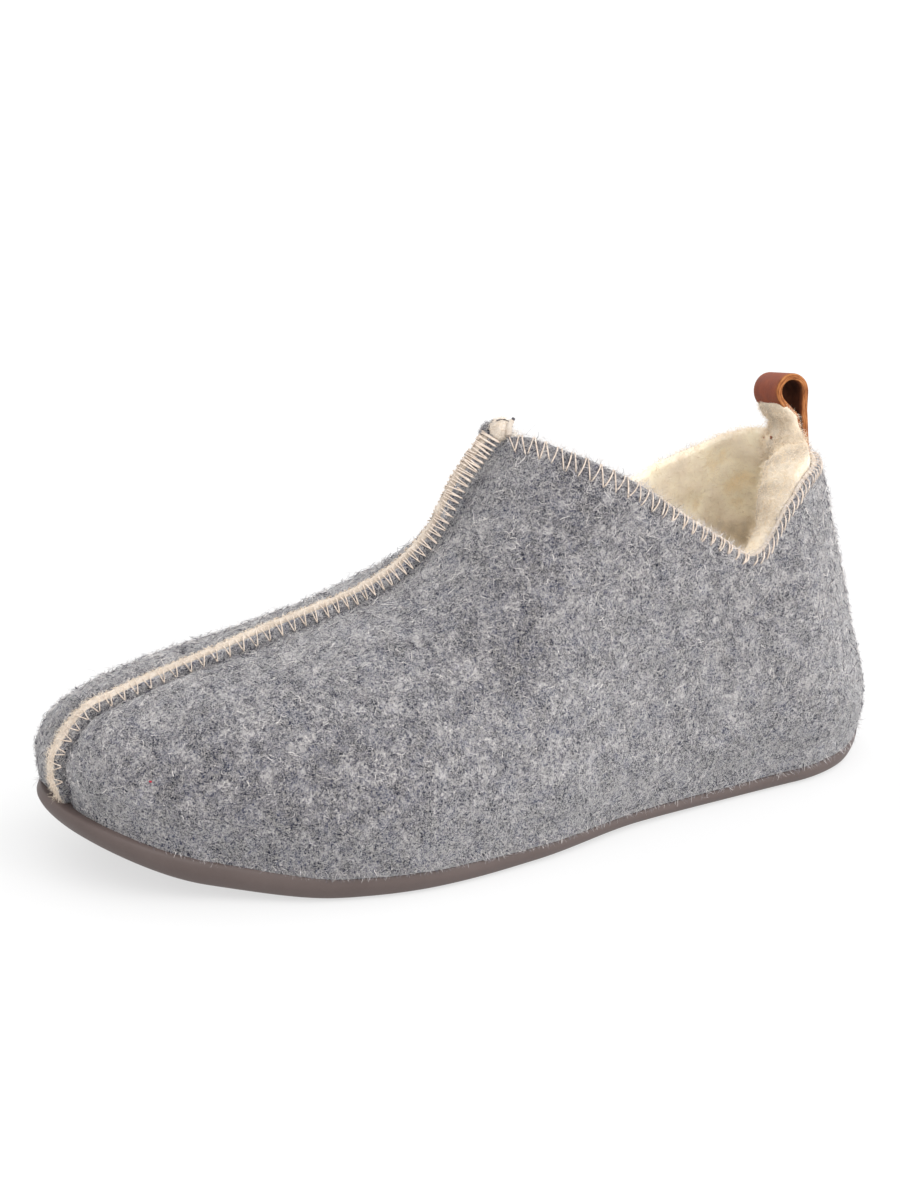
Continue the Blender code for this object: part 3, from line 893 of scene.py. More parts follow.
def wrapped(stations, row, lift=(0.0, 0.0)):
    # the shoe as one sheet: toe, outer side, heel, inner side, toe; rows from the sole up
    outer = feltPoint(stations[None, ::-1], row[:, None], 1, lift[0])
    inner = feltPoint(stations[None, 1:], row[:, None], -1, lift[1])
    return np.concatenate([outer, inner], axis=1)


def wrappedOutward(sheet):
    # outward directions of such a sheet; the collapsed toe tip points forwards
    outward = gridNormals(sheet)
    outward[np.linalg.norm(outward, axis=-1) < 0.5] = forwards
    return outward


def moveIn(sheet, outward, depth):
    # offset to the inside, stopping a hair short of the middle plane in front of the throat
    moved = sheet - outward * depth
    side, gap = np.sign(sheet[..., 1]), feltLook["middleGap"]
    moved[..., 1] = np.where(side * moved[..., 1] < gap, side * gap, moved[..., 1])
    return moved


def creaseDepth(points):
    # soft troughs placed one by one: a bell in length and height for each row of the table
    depth = np.zeros(points.shape[:-1])
    for share, height, alongReach, upReach, deep in feltLook["creases"]:
        along = (points[..., 0] - share * length) / alongReach
        up = (points[..., 2] - height) / upReach
        depth += deep * np.exp(-(along**2 + up**2))
    return depth


def besideSeam(points, width):
    # a bell along both feet of the raised seam, in front of the throat; the feet come closer on the toe
    start, reach, closer = feltLook["grooveCloser"]
    place = feltLook["groovePlace"] * (1 - closer * rising(points[..., 0], start, reach))
    away = (np.abs(points[..., 1]) - place) / width
    return np.exp(-away**2) * rising(points[..., 0], throatX, feltLook["grooveStart"])


def seamSink(x):
    # how far the seam is drawn in: nothing on the vamp, the whole valley on the toe
    return feltLook["valley"] * rising(x, *feltLook["valleyStart"])


def vampSide(points):
    # a bell in x and y on the inner side of the vamp
    x, xReach, y, yReach, out = feltLook["vampSide"]
    return out * np.exp(-((points[..., 0] - x) / xReach) ** 2 - ((points[..., 1] - y) / yReach) ** 2)


def vampRidge(points):
    # a bell in x along the seam
    x, xReach, yReach, out = feltLook["ridge"]
    return out * np.exp(-((points[..., 0] - x) / xReach) ** 2 - (points[..., 1] / yReach) ** 2)


def toeChin(points):
    # a bell in height on the toe front, weaker on the inner side
    height, reach, out = feltLook["chin"]
    side = rising(points[..., 1], *feltLook["chinSide"])
    bell = np.exp(-((points[..., 2] - height) / reach) ** 2)
    return out * side * bell * rising(points[..., 0], *feltLook["chinStart"])


def feltRelief(points):
    # how far the felt's skin lies outside its smooth form
    lumps = feltLook["lump"] * woolNoise(points, feltLook["lumpSize"], 1)
    grain = feltLook["grainHeight"] * woolNoise(points, feltLook["grainSize"], 2)
    groove = feltLook["grooveDepth"] * besideSeam(points, feltLook["grooveWidth"])
    valley = seamSink(points[..., 0]) * np.exp(-(points[..., 1] / feltLook["valleyWidth"]) ** 2)
    fuller = vampSide(points) + vampRidge(points) + toeChin(points)
    return lumps + grain + fuller - groove - valley - creaseDepth(points) - feltLook["inset"]


def feltHang(points, outward, foot):
    # the lowest felt drawn down and out over the edge of the sole, in a bell above its foot; less out on the
    # inner side
    near = np.exp(-((points[..., 2] - foot[..., 2]) / feltLook["hangReach"]) ** 2)
    share = foot[..., 0] / length
    drop = near * readTable(feltLook["hang"], 1, share)
    out = near * readTable(feltLook["hang"], 2, share) * rising(foot[..., 1], *feltLook["hangSide"])
    return out[..., None] * outward - drop[..., None] * upright


def feltShade(points):
    # painted shade in the fold beside the seam and in the small crease, 0 on the open felt
    deepest = max(row[-1] for row in feltLook["creases"])
    start, reach, strength = feltLook["creaseShade"]
    crease = strength * rising(creaseDepth(points) / deepest, start, reach)
    fold = feltLook["foldShade"]
    for x, change in feltLook["foldShadeSteps"]:
        fold = fold + change * rising(points[..., 0], x, feltLook["foldShadeReach"])
    return np.clip(fold * besideSeam(points, feltLook["grooveWidth"]) + crease, 0, 1)


stations = shoeStations()
outsideRow = 1 - np.linspace(1, 0, feltLook["outsideRows"] + 1) ** feltLook["rowPower"]
feltOutside = wrapped(stations, outsideRow)
feltOutward = wrappedOutward(feltOutside)
feltSkin = feltOutside + feltOutward * feltRelief(feltOutside)[..., None]
feltSkin = feltSkin + feltHang(feltOutside, feltOutward, feltOutside[:1])


def makeFelt():
    # outside, round over the top edge, down the inside and back under: one closed wall
    thickness = feltShape["thickness"]
    turn = np.linspace(0, 1, feltLook["rimSteps"] + 2)[1:-1] * halfTurn
    top = feltSkin[-1]
    inner = moveIn(feltSkin[-1:], feltOutward[-1:], thickness)[0]
    climb = unit(top - feltSkin[-1 - feltLook["climbRows"]])
    climb = climb * np.where(top[:, :1] < throatX, feltLook["rimRound"], 0.0)
    rim = overEdge(top, inner, climb, turn)
    down = np.linspace(feltLook["outsideRows"], 0, feltLook["insideRows"] + 1).astype(int)
    inside = moveIn(feltSkin[down], feltOutward[down], thickness)
    loop = np.concatenate([feltSkin, rim, inside])
    # painted shade on the outside of the felt, in the fold beside the seam and the small crease
    shade = np.zeros(loop.shape[:2])
    shade[: len(feltSkin)] = feltShade(feltOutside)
    faces = gridFaces(*loop.shape[:2], closeRows=True)
    felt = makePiece("felt_upper", loop, faces, greyFelt, {"shade": shade}, weld=weldReach["sheet"])
    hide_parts("upper")
    return rim


feltRim = makeFelt()

# Raised seam along the vamp
seamLook = {
    "steps": 240,
    "vampSamples": 200,
    "toeSamples": 120,
    "endSteps": 7,
    "endRise": 0.0030,
    "throatSwell": (0.020, 0.012, 0.0013),  # travel, reach, how far the wrapped seam stands out there
    "toeEnd": 0.04,
    "toeTaper": 0.006,
    "toeHeight": 0.6,
    "sinkShare": 0.25,  # how much lower the seam is where it is drawn in
    "lumpSize": 0.0022,
    "fineSize": 0.0011,
    "fineShare": 0.6,
}

# The two flanges as one profile, and the wool strip between them
flangeLook = {
    "halfWidth": 0.0029,
    "height": 0.0030,
    "root": 0.0026,
    "bulge": (0.0002, 0.0010),  # how far the flank stands out, at which height
    "channelHalfWidth": 0.0016,
    "channelDepth": 0.0016,
    "cornerRadius": 0.0005,
    "shade": 0.4,  # strength of the painted shade on the flank
    "shadeSide": 0.001,
    "shadeTop": (-0.0002, 0.0026),  # height from which it fades, reach
    "start": 0.0,
    "rounding": 0.0008,
    "lump": 0.00022,
    "seed": 5,
    # travel from the throat, width against the flanges' own
    "spread": ((0.000, 1.00), (0.030, 0.95), (0.110, 0.92), (0.150, 0.80), (0.180, 0.92)),
}
stripLook = {
    "halfWidth": 0.00155,
    "proud": 0.0010,
    "capHeight": 0.0014,
    "capSteps": 12,
    "foot": (0.9, 0.0002),  # share of the width, lift off the channel's floor
    "start": 0.0050,  # the strip's end is rolled up behind this
    "rounding": 0.0014,
    "lump": 0.00026,
    "seed": 6,
    # travel from the throat, width against the strip's own
    "spread": (
        (0.000, 1.40),
        (0.016, 1.30),
        (0.035, 1.02),
        (0.060, 0.86),
        (0.130, 1.00),
        (0.150, 1.25),
        (0.180, 1.60),
    ),
}

# The strip's rolled-up end at the throat, and a bit of felt beside it: place by travel, to one side and
# height, half axes along, across and out
bunLook = {"place": (0.0021, 0.0012, 0.0010), "half": (0.0034, 0.0030, 0.0032), "seed": 7}
cornerLook = {"place": (0.0044, -0.0010, 0.0028), "half": (0.0025, 0.0026, 0.0018), "seed": 8, "shade": 0.15}
ballLook = {"rings": 22, "sides": 36, "rough": 0.0004, "roughSize": 0.0016}


def seamPath():
    # the vamp line from the throat to the sole at even steps: travel, points, outward directions and share of
    # the full height
    vamp = np.linspace(throatX, toeBoxX, seamLook["vampSamples"])
    left = np.linspace(1, seamLook["toeEnd"], seamLook["toeSamples"])[1:]
    x = np.concatenate([vamp, length - (length - toeBoxX) * left ** feltShape["toeFrontPower"]])
    points = sectionPoint(x, np.full_like(x, halfTurn / 2), 1)
    points[:, 1] = 0
    start = points[0] - seamLook["endRise"] * unit(points[1] - points[0])
    points = np.vstack([start, points])
    travel = travelAlong(points)
    even = np.linspace(0, travel[-1], seamLook["steps"] + 1)
    points = readLine(even, travel, points)
    along = unit(np.gradient(points, axis=0))
    outward = np.stack([-along[:, 2], 0 * along[:, 0], along[:, 0]], axis=-1)
    sink = seamSink(points[:, 0])
    share = rising(points[:, 2], points[-1, 2], seamLook["toeTaper"], seamLook["toeHeight"])
    share = share * (1 - seamLook["sinkShare"] * sink / feltLook["valley"])
    middle, reach, swell = seamLook["throatSwell"]
    lift = swell * np.exp(-((even - middle) / reach) ** 2) + vampRidge(points) + toeChin(points) - sink
    hang = feltHang(points, outward, points[-1:])
    return even, points + outward * lift[:, None] + hang, outward, share


seamTravel, seamPoints, seamOutward, seamShare = seamPath()
seamLength = seamTravel[-1]
throatOut = seamOutward[0]
throatAhead = np.array([throatOut[2], 0.0, -throatOut[0]])


def onSeam(travel, wide, high):
    # a place given by its travel along the seam from the throat, its distance to one side and its height off
    # the felt
    point = readLine(travel, seamTravel, seamPoints)
    outward = readLine(travel, seamTravel, seamOutward)
    share = np.interp(travel, seamTravel, seamShare)
    across = np.asarray(wide)[..., None] * outerWay
    return point + across + (np.where(high > 0, high * share, high))[..., None] * outward


def roundedProfile(corners, radius, steps=4):
    # corners joined by straight lines, each corner cut by a quadratic bend of the given radius
    corners = np.asarray(corners, float)
    before = unit(np.roll(corners, 1, axis=0) - corners) * radius
    after = unit(np.roll(corners, -1, axis=0) - corners) * radius
    t = np.linspace(0, 1, steps)[:, None, None]
    bend = (1 - t) ** 2 * (corners + before) + 2 * t * (1 - t) * corners + t**2 * (corners + after)
    return bend.transpose(1, 0, 2).reshape(-1, 2)


def sweepSeam(name, profile, finish, look, marks):
    # a closed profile of (distance to one side, height) carried along the seam, drawn in to a point at both
    # ends and roughened
    start, rounding, seed = look["start"], look["rounding"], look["seed"]
    bend = rounding * (1 - np.cos(np.linspace(0, halfTurn / 2, seamLook["endSteps"])))
    run = np.linspace(start + rounding, seamLength - rounding, seamLook["steps"])
    travel = np.concatenate([start + bend[:-1], run, seamLength - bend[-2::-1]])
    travel = travel[:, None] * np.ones(len(profile))
    wide = profile[None, :, 0] * readTable(look["spread"], 1, travel)
    body = onSeam(travel, wide, profile[None, :, 1] + 0 * travel)
    centre = body.mean(axis=1, keepdims=True)
    drawn = quarter(np.minimum(travel - start, seamLength - travel), rounding)[..., None]
    fine = seamLook["fineShare"] * woolNoise(body, seamLook["fineSize"], seed + 1)
    rough = look["lump"] * (woolNoise(body, seamLook["lumpSize"], seed) + fine)
    body = centre + (body - centre) * drawn + unit(body - centre) * rough[..., None] * drawn
    marks = {label: np.broadcast_to(values, body.shape[:2]) for label, values in marks.items()}
    faces = gridFaces(*body.shape[:2], closeColumns=True)
    return makePiece(name, body, faces, finish, marks, weld=weldReach["sheet"]), body


def makeFlanges():
    # half a profile up the flank and down into the channel, and its mirror image; the flank carries painted
    # shade
    wide, high = flangeLook["halfWidth"], flangeLook["height"]
    slot, floor = flangeLook["channelHalfWidth"], high - flangeLook["channelDepth"]
    bulge, bulgeHeight = flangeLook["bulge"]
    flank = [(wide, -flangeLook["root"]), (wide + bulge, bulgeHeight), (wide, high)]
    half = flank + [(slot, high), (slot, floor)]
    profile = roundedProfile(half + [(-w, h) for w, h in reversed(half)], flangeLook["cornerRadius"])
    shade = flangeLook["shade"] * rising(np.abs(profile[:, 0]), slot, flangeLook["shadeSide"])
    shade = shade * (1 - rising(profile[:, 1], *flangeLook["shadeTop"]))
    flanges, _ = sweepSeam("seam_flanges", profile, greyFelt, flangeLook, {"shade": shade})
    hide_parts("upper")


def makeStrip():
    # a flat foot in the channel under a half-round cap
    narrow, cap = stripLook["halfWidth"], stripLook["capHeight"]
    top = flangeLook["height"] + stripLook["proud"]
    footShare, footLift = stripLook["foot"]
    foot = flangeLook["height"] - flangeLook["channelDepth"] + footLift
    angles = np.linspace(0, halfTurn, stripLook["capSteps"] + 1)
    dome = [(narrow * np.cos(angle), top - cap + cap * np.sin(angle)) for angle in angles]
    profile = np.array([(-narrow * footShare, foot), (narrow * footShare, foot)] + dome)
    strip, body = sweepSeam("wool_strip", profile, creamWool, stripLook, {})
    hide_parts("seam_strip")
    return body


def throatLump(look):
    # a ball on three half axes at the seam's throat end, roughened along its rays: middle, points and faces
    along, across, out = look["half"]
    centre = onSeam(*[np.array(value) for value in look["place"]])
    axes = np.stack([across * outerWay, out * throatOut, along * throatAhead])
    polar = np.linspace(0, halfTurn, ballLook["rings"] + 1)[:, None]
    about = np.linspace(0, 2 * halfTurn, ballLook["sides"], endpoint=False)[None]
    ring = np.sin(polar)
    ball = np.stack([ring * np.cos(about), ring * np.sin(about), np.cos(polar) + 0 * about], axis=-1)
    points = centre + ball @ axes
    rough = ballLook["rough"] * woolNoise(points, ballLook["roughSize"], look["seed"])
    points = points + unit(points - centre) * rough[..., None]
    return centre, points, gridFaces(*points.shape[:2], closeColumns=True, flip=True)


def makeSeamEnd():
    # the bun of cream wool and the bit of felt
    centre, points, faces = throatLump(bunLook)
    bun = makePiece("seam_bun", points, faces, creamWool, weld=weldReach["sheet"])
    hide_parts("seam_strip")
    _, corner, faces = throatLump(cornerLook)
    # painted shade, a little, over the whole bit of felt
    shade = np.full(corner.shape[:2], cornerLook["shade"])
    bit = makePiece("seam_corner", corner, faces, greyFelt, {"shade": shade}, weld=weldReach["sheet"])
    return centre, points, corner


makeFlanges()
stripBody = makeStrip()
bunCentre, bunSkin, cornerSkin = makeSeamEnd()
print("felt and seam ready, seam", round(seamLength * 1000), "mm long")

# Fleece lining
fleeceLook = {
    "rows": 54,
    "rollSteps": 7,
    "backRows": 6,
    "backDepth": 0.0032,
    "pile": 0.0034,
    "rimDepth": 0.0030,
    "clump": 0.0009,
    "clumpSize": 0.0085,
    "tuftHeight": 0.00035,
    "tuftSize": 0.0034,
    "strapBulge": 0.0062,  # room for the pull loop's tail behind the lining
    "strapHalfWidth": 0.0105,
    "lip": 0.0098,  # thick roll of pile behind the notch on the outer side
    "lipDrop": 0.0022,
    # share of the length, rise of the pile over the collar outside, inside
    "rise": (
        (0.000, 0.0060, 0.0058),
        (0.020, 0.0050, 0.0048),
        (0.040, 0.0036, 0.0040),
        (0.060, 0.0024, 0.0030),
        (0.080, 0.0015, 0.0021),
        (0.100, 0.0010, 0.0019),
        (0.120, 0.0007, 0.0020),
        (0.140, 0.0005, 0.0027),
        (0.172, 0.0000, 0.0036),
        (0.215, -0.0008, 0.0038),
        (0.275, -0.0013, 0.0030),
        (0.330, -0.0020, 0.0010),
        (0.410, -0.0026, -0.0020),
        (0.445, -0.0016, -0.0014),
        (0.465, 0.0000, 0.0000),
    ),
    "climbRows": 3,
    "strapFront": (0.055, -0.02),  # x from which the bulge grows towards the heel, reach
    "strapFoot": (0.068, 0.022),  # height from which it grows, reach
    "lipSide": (-0.006, 0.018),  # y from which the roll grows outwards, reach
    "lipFront": (0.064, -0.030),
    "lipFoot": (0.050, 0.030),
    "lipAtStrap": 0.5,  # share of the roll that the strap's bulge takes away
    "lipDropRow": (0.6, 0.4),
    # tone between the clumps, which paints shade there, and how much clumps, tufts and thick pile lower it
    "hollow": (0.55, 0.4, 0.15, 0.4),
    "rollHollow": (0.2, 0.5),  # tone on the roll outside, inside; the darker inside is painted shade
    "backHollow": 0.6,
    # height of the roll over the collar, more on the lip, unevenness and its size
    "puff": (0.0012, 0.0008, 0.0005, 0.004),
    "seeds": (11, 12, 13),
}


def liningSheets():
    # the inner face, its roll over the collar and its back against the felt, as one sheet of rows by
    # stations; the tone is high between the clumps, as painted shade in the hollows
    clumpSeed, tuftSeed, puffSeed = fleeceLook["seeds"]
    rise = [readTable(fleeceLook["rise"], column, stations / length) for column in (1, 2)]
    row = np.linspace(0, 1, fleeceLook["rows"] + 1)
    face = wrapped(stations, row, (rise[0][None, ::-1], rise[1][None, 1:]))
    outward = wrappedOutward(face)
    x, y, z = np.moveaxis(face, -1, 0)
    across = np.exp(-(y / fleeceLook["strapHalfWidth"]) ** 4)
    strap = across * rising(x, *fleeceLook["strapFront"]) * rising(z, *fleeceLook["strapFoot"])
    clumps = woolNoise(face, fleeceLook["clumpSize"], clumpSeed)
    tufts = woolNoise(face, fleeceLook["tuftSize"], tuftSeed)
    lip = rising(y, *fleeceLook["lipSide"]) * rising(x, *fleeceLook["lipFront"])
    lip = lip * rising(z, *fleeceLook["lipFoot"])
    thickLip = fleeceLook["lip"] * lip * (1 - fleeceLook["lipAtStrap"] * across)
    extra = np.maximum(fleeceLook["strapBulge"] * strap, thickLip)
    lip = lip * (1 - across)
    front = feltShape["thickness"] + fleeceLook["pile"] + extra
    depth = front + fleeceLook["clump"] * clumps + fleeceLook["tuftHeight"] * tufts
    inner = moveIn(face, outward, depth[..., None])
    inner[..., 2] -= fleeceLook["lipDrop"] * lip * rising(row[:, None], *fleeceLook["lipDropRow"])
    between, byClumps, byTufts, byPile = fleeceLook["hollow"]
    hollow = between - byClumps * clumps - byTufts * tufts - byPile * np.maximum(lip, strap)
    top = face[-1]
    climb = unit(top - face[-1 - fleeceLook["climbRows"]])
    turn = np.linspace(0, 1, fleeceLook["rollSteps"] + 1)[1:] * halfTurn
    end = moveIn(face[-1:], outward[-1:], fleeceLook["rimDepth"])[0]
    puffHeight, puffLip, puffUneven, puffSize = fleeceLook["puff"]
    puff = puffHeight + puffLip * lip[-1] + puffUneven * woolNoise(top, puffSize, puffSeed)
    puff = puff * (top[:, 0] < throatX)
    roll = overEdge(inner[-1], end, climb * puff[:, None], turn)
    down = np.linspace(fleeceLook["rows"] - 1, 0, fleeceLook["backRows"] + 1).astype(int)
    back = moveIn(face[down], outward[down], fleeceLook["backDepth"])
    sheet = np.concatenate([inner, roll, back])
    fade = np.linspace(0, 1, len(roll))[:, None]
    rolled = (1 - fade) * hollow[-1] + fade * np.where(top[:, 1] > 0, *fleeceLook["rollHollow"])
    hollows = np.concatenate([hollow, rolled, np.full(back.shape[:2], fleeceLook["backHollow"])])
    return inner, roll, sheet, np.clip(hollows, 0, 1)


def makeLining():
    # the lining as one closed sheet; its face and roll carry the pile later
    face, roll, sheet, hollow = liningSheets()
    faces = gridFaces(*sheet.shape[:2], closeRows=True, flip=True)
    marks = {"hollow": hollow}
    lining = makePiece("fleece_lining", sheet, faces, creamFleece, marks, weld=weldReach["sheet"])
    return face, roll


liningFace, liningRoll = makeLining()

# Footbed
footbedLook = {
    "thickness": 0.0040,
    "inset": 0.0042,
    "columns": 40,
    "edgeRounding": 0.003,
    "clump": 0.0007,
    "clumpSize": 0.008,
    "seed": 21,
}


def makeFootbed():
    # the sole outline moved in, bridged from side to side, with a clumpy top and a flat underside
    flat = soleOutline(footbedLook["inset"])
    flat[:, 0] = setBack(flat[:, 0], feltShape["toeSetback"])
    plane, border = bridged(flat, footbedLook["columns"])
    base = featherHeight(plane[..., 0]) + lastShape["clearance"]
    under = np.concatenate([plane, base[..., None]], axis=-1)
    edge = quarter(border, footbedLook["edgeRounding"])
    clumps = woolNoise(under, footbedLook["clumpSize"], footbedLook["seed"])
    top = under.copy()
    top[..., 2] += (footbedLook["thickness"] + footbedLook["clump"] * (clumps - 1)) * edge
    size = top.shape[:2]
    points, faces = joinGrids((top, gridFaces(*size, flip=True)), (under, gridFaces(*size)))
    # painted shade between the clumps, as on the lining
    between, byClumps = fleeceLook["hollow"][:2]
    hollow = np.clip(between - byClumps * clumps, 0, 1)
    marks = {"hollow": np.concatenate([hollow, hollow])}
    bed = makePiece("fleece_footbed", points, faces, creamFleece, marks, weld=weldReach["sheet"])
    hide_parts("insole")


makeFootbed()
print("lining and footbed ready")

# Leather pull loop
loopLook = {
    "strapWidth": 0.0145,
    "thickness": 0.0020,
    "outerRadius": 0.0056,
    "centreHeight": 0.0182,
    "closingAngle": np.radians(-50),
    "bendHeight": 0.0025,
    "tail": 0.010,
    "tailLean": np.radians(15),
    "lean": np.radians(-8),
    "tilt": np.radians(12),
    "splay": 0.0012,  # how far the legs' foot stands behind the loop
    "rearTop": 0.7,  # top of the rear leg's straight part, as a share of the loop's height
    "meetBends": (0.0012, 0.0016),  # way before and after the place where the front leg meets the rear one
    "seat": 0.0019,
    "arcSteps": 39,
    "pathSteps": 90,
    "cornerSteps": 5,
    "faceSteps": 8,
    "edgeRounding": 0.0005,
    "edgeRough": 0.00012,
    "edgeRoughSize": 0.003,
    "edgeMark": (0.0007, 0.0005),  # way in from the edge, reach
    "fleshMark": (-0.2, 0.6),  # share of the half thickness, reach
    "seed": 31,
}


def turnedAbout(points, axis, angle):
    # rotation about a main axis by the right-hand rule
    u, v = [(1, 2), (2, 0), (0, 1)][axis]
    turned = points.copy()
    turned[..., u] = np.cos(angle) * points[..., u] - np.sin(angle) * points[..., v]
    turned[..., v] = np.sin(angle) * points[..., u] + np.cos(angle) * points[..., v]
    return turned


def loopPlace(points):
    # from the strap's own side view (forward, across, up from the collar) to the heel of the shoe
    collar = feltShape["collar"][0][1]
    bend = loopLook["bendHeight"] * np.tan(loopLook["tailLean"])
    forward = readTable(feltShape["heelLine"], 1, collar) + feltShape["thickness"] + loopLook["seat"] + bend
    turned = turnedAbout(turnedAbout(points, 1, loopLook["lean"]), 0, loopLook["tilt"])
    return turned + np.array([forward, 0.0, collar])


def strapPath():
    # middle line of the strap, up the rear, round the loop, back to the rear leg and down along it, and the
    # directions to its outside
    t, radius, height = loopLook["thickness"], loopLook["outerRadius"], loopLook["centreHeight"]
    tail, bendHeight = loopLook["tail"], loopLook["bendHeight"]
    closingAngle = loopLook["closingAngle"]
    back = (bendHeight + tail) * np.tan(loopLook["tailLean"])
    angles = np.linspace(halfTurn, closingAngle, loopLook["arcSteps"] + 1)
    inner = radius - t / 2
    arc = np.stack([radius + inner * np.cos(angles), height + inner * np.sin(angles)], axis=-1)
    closing = np.array([np.sin(closingAngle), -np.cos(closingAngle)])
    frontMiddle = 1.5 * t
    meet = arc[-1] + closing * (frontMiddle - arc[-1, 0]) / closing[0]
    before, after = loopLook["meetBends"]
    foot = t / 2 - loopLook["splay"]
    rear = np.array([(foot - back, -tail), (foot, bendHeight), (t / 2, height * loopLook["rearTop"])])
    bends = np.array([meet - closing * before, meet - (0, after)])
    front = np.vstack([bends, (foot + t, bendHeight), (foot + t - back, -tail)])
    line = np.vstack([rear, arc, front])
    travel = travelAlong(line)
    path = readLine(np.linspace(0, travel[-1], loopLook["pathSteps"] + 1), travel, line)
    along = unit(np.gradient(path, axis=0))
    return path, np.stack([-along[:, 1], along[:, 0]], axis=-1)


def strapSection():
    # the strap's rounded cross-section as (across, out), with more points along its two faces
    wide, thick, radius = loopLook["strapWidth"] / 2, loopLook["thickness"] / 2, loopLook["edgeRounding"]
    bend = loopLook["cornerSteps"]
    corners = roundedProfile([(-wide, -thick), (wide, -thick), (wide, thick), (-wide, thick)], radius, bend)
    spread = np.linspace(-1, 1, loopLook["faceSteps"] + 1)[1:-1] * (wide - radius)
    under = np.column_stack([spread, np.full(len(spread), -thick)])
    over = np.column_stack([spread[::-1], np.full(len(spread), thick)])
    return np.vstack([corners[:bend], under, corners[bend:3 * bend], over, corners[3 * bend:]])


def makeLoop():
    # the section carried along the path, with closed ends; attributes mark the cut edges and the flesh side
    path, outside = strapPath()
    section = strapSection()
    wide, thick = loopLook["strapWidth"] / 2, loopLook["thickness"] / 2
    out = outside[:, None] * section[None, :, 1:]
    across = section[None, :, 0] + 0 * path[:, :1]
    side = np.stack([path[:, :1] + out[..., 0], across, path[:, 1:] + out[..., 1]], axis=-1)
    rough = loopLook["edgeRough"] * woolNoise(side, loopLook["edgeRoughSize"], loopLook["seed"])
    side[..., 1] += rough * (np.abs(section[:, 0]) > wide - loopLook["edgeRounding"])
    body = loopPlace(side)
    edgeWay, edgeReach = loopLook["edgeMark"]
    edge = rising(np.abs(section[:, 0]), wide - edgeWay, edgeReach)
    flesh = rising(-section[:, 1] / thick, *loopLook["fleshMark"]) * (1 - edge)
    ends = np.broadcast_to(body[[0, -1]].mean(axis=1, keepdims=True), body[[0, -1]].shape)
    body = np.concatenate([ends[:1], body, ends[1:]])
    travel = travelAlong(path)
    travel = np.concatenate([travel[:1], travel, travel[-1:]])[:, None]
    marks = {"edge": edge, "flesh": flesh, "along": travel, "across": section[:, 1]}
    marks = {label: np.broadcast_to(values, body.shape[:2]) for label, values in marks.items()}
    faces = gridFaces(*body.shape[:2], closeColumns=True)
    loop = makePiece("leather_loop", body, faces, brownLeather, marks, weld=weldReach["sheet"])
    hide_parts("pull_loop")


makeLoop()

# Fleece drawn up over the loop's front leg
tuftLook = {
    "top": 0.0152,
    "bottom": -0.0096,
    "sides": 44,
    "hump": 0.0019,
    "flare": 0.0036,  # how much fuller it stands where it joins the lining
    "flareStart": (0.3, 0.4),  # share of the way down, reach
    "flareAcross": 0.7,
    "drawnEnds": (0.3, 0.4),  # shares of the way over which it thins out at the top and at the bottom
    "drawnWidth": 0.75,
    "bowPower": 0.7,
    "widePower": 0.6,
    "sunk": 0.0007,  # how deep its middle lies in the strap
    "back": 0.0006,
    "overlap": 0.0009,
    "rough": 0.0007,
    "roughSize": 0.003,
    "hollow": 0.15,
    "seed": 32,
}


def makeTuft():
    # the front leg's own side view with a closed hump on its front face, thin at the top, full at the collar
    path, outside = strapPath()
    front = np.arange(len(path)) > np.argmax(path[:, 1])
    front &= (path[:, 1] < tuftLook["top"]) & (path[:, 1] > tuftLook["bottom"])
    path, outside = path[front], outside[front]
    share = np.linspace(0, 1, len(path))[:, None]
    topEnd, bottomEnd = tuftLook["drawnEnds"]
    drawn = quarter(share, topEnd) * ease((1 - share) / bottomEnd)
    flare = tuftLook["flare"] * rising(share, *tuftLook["flareStart"])
    angle = np.linspace(0, 2 * halfTurn, tuftLook["sides"], endpoint=False)[None]
    bow = np.abs(np.cos(angle)) ** tuftLook["bowPower"] * np.sign(np.cos(angle))
    swing = np.abs(np.sin(angle)) ** tuftLook["widePower"] * np.sign(np.sin(angle))
    hump = (tuftLook["hump"] + flare) * drawn + tuftLook["sunk"]
    forward = loopLook["thickness"] / 2 - tuftLook["sunk"] + np.where(bow > 0, hump, tuftLook["back"]) * bow
    wide = loopLook["strapWidth"] / 2 + tuftLook["overlap"] + tuftLook["flareAcross"] * flare
    narrow = tuftLook["drawnWidth"]
    across = wide * swing * (narrow + (1 - narrow) * drawn)
    out = outside[:, None] * forward[..., None]
    side = np.stack([path[:, :1] + out[..., 0], across, path[:, 1:] + out[..., 1]], axis=-1)
    body = loopPlace(side)
    centre = body.mean(axis=1, keepdims=True)
    rough = tuftLook["rough"] * woolNoise(body, tuftLook["roughSize"], tuftLook["seed"])
    body = body + unit(body - centre) * rough[..., None]
    body = np.concatenate([0 * body[:1] + centre[:1], body, 0 * body[-1:] + centre[-1:]])
    faces = gridFaces(*body.shape[:2], closeColumns=True, flip=True)
    # a low hollow tone: little of the lining's painted shade on the tuft
    marks = {"hollow": np.full(body.shape[:2], tuftLook["hollow"])}
    tuft = makePiece("fleece_tuft", body, faces, creamFleece, marks, weld=weldReach["sheet"])
    return body


tuftSkin = makeTuft()
print("loop ready")

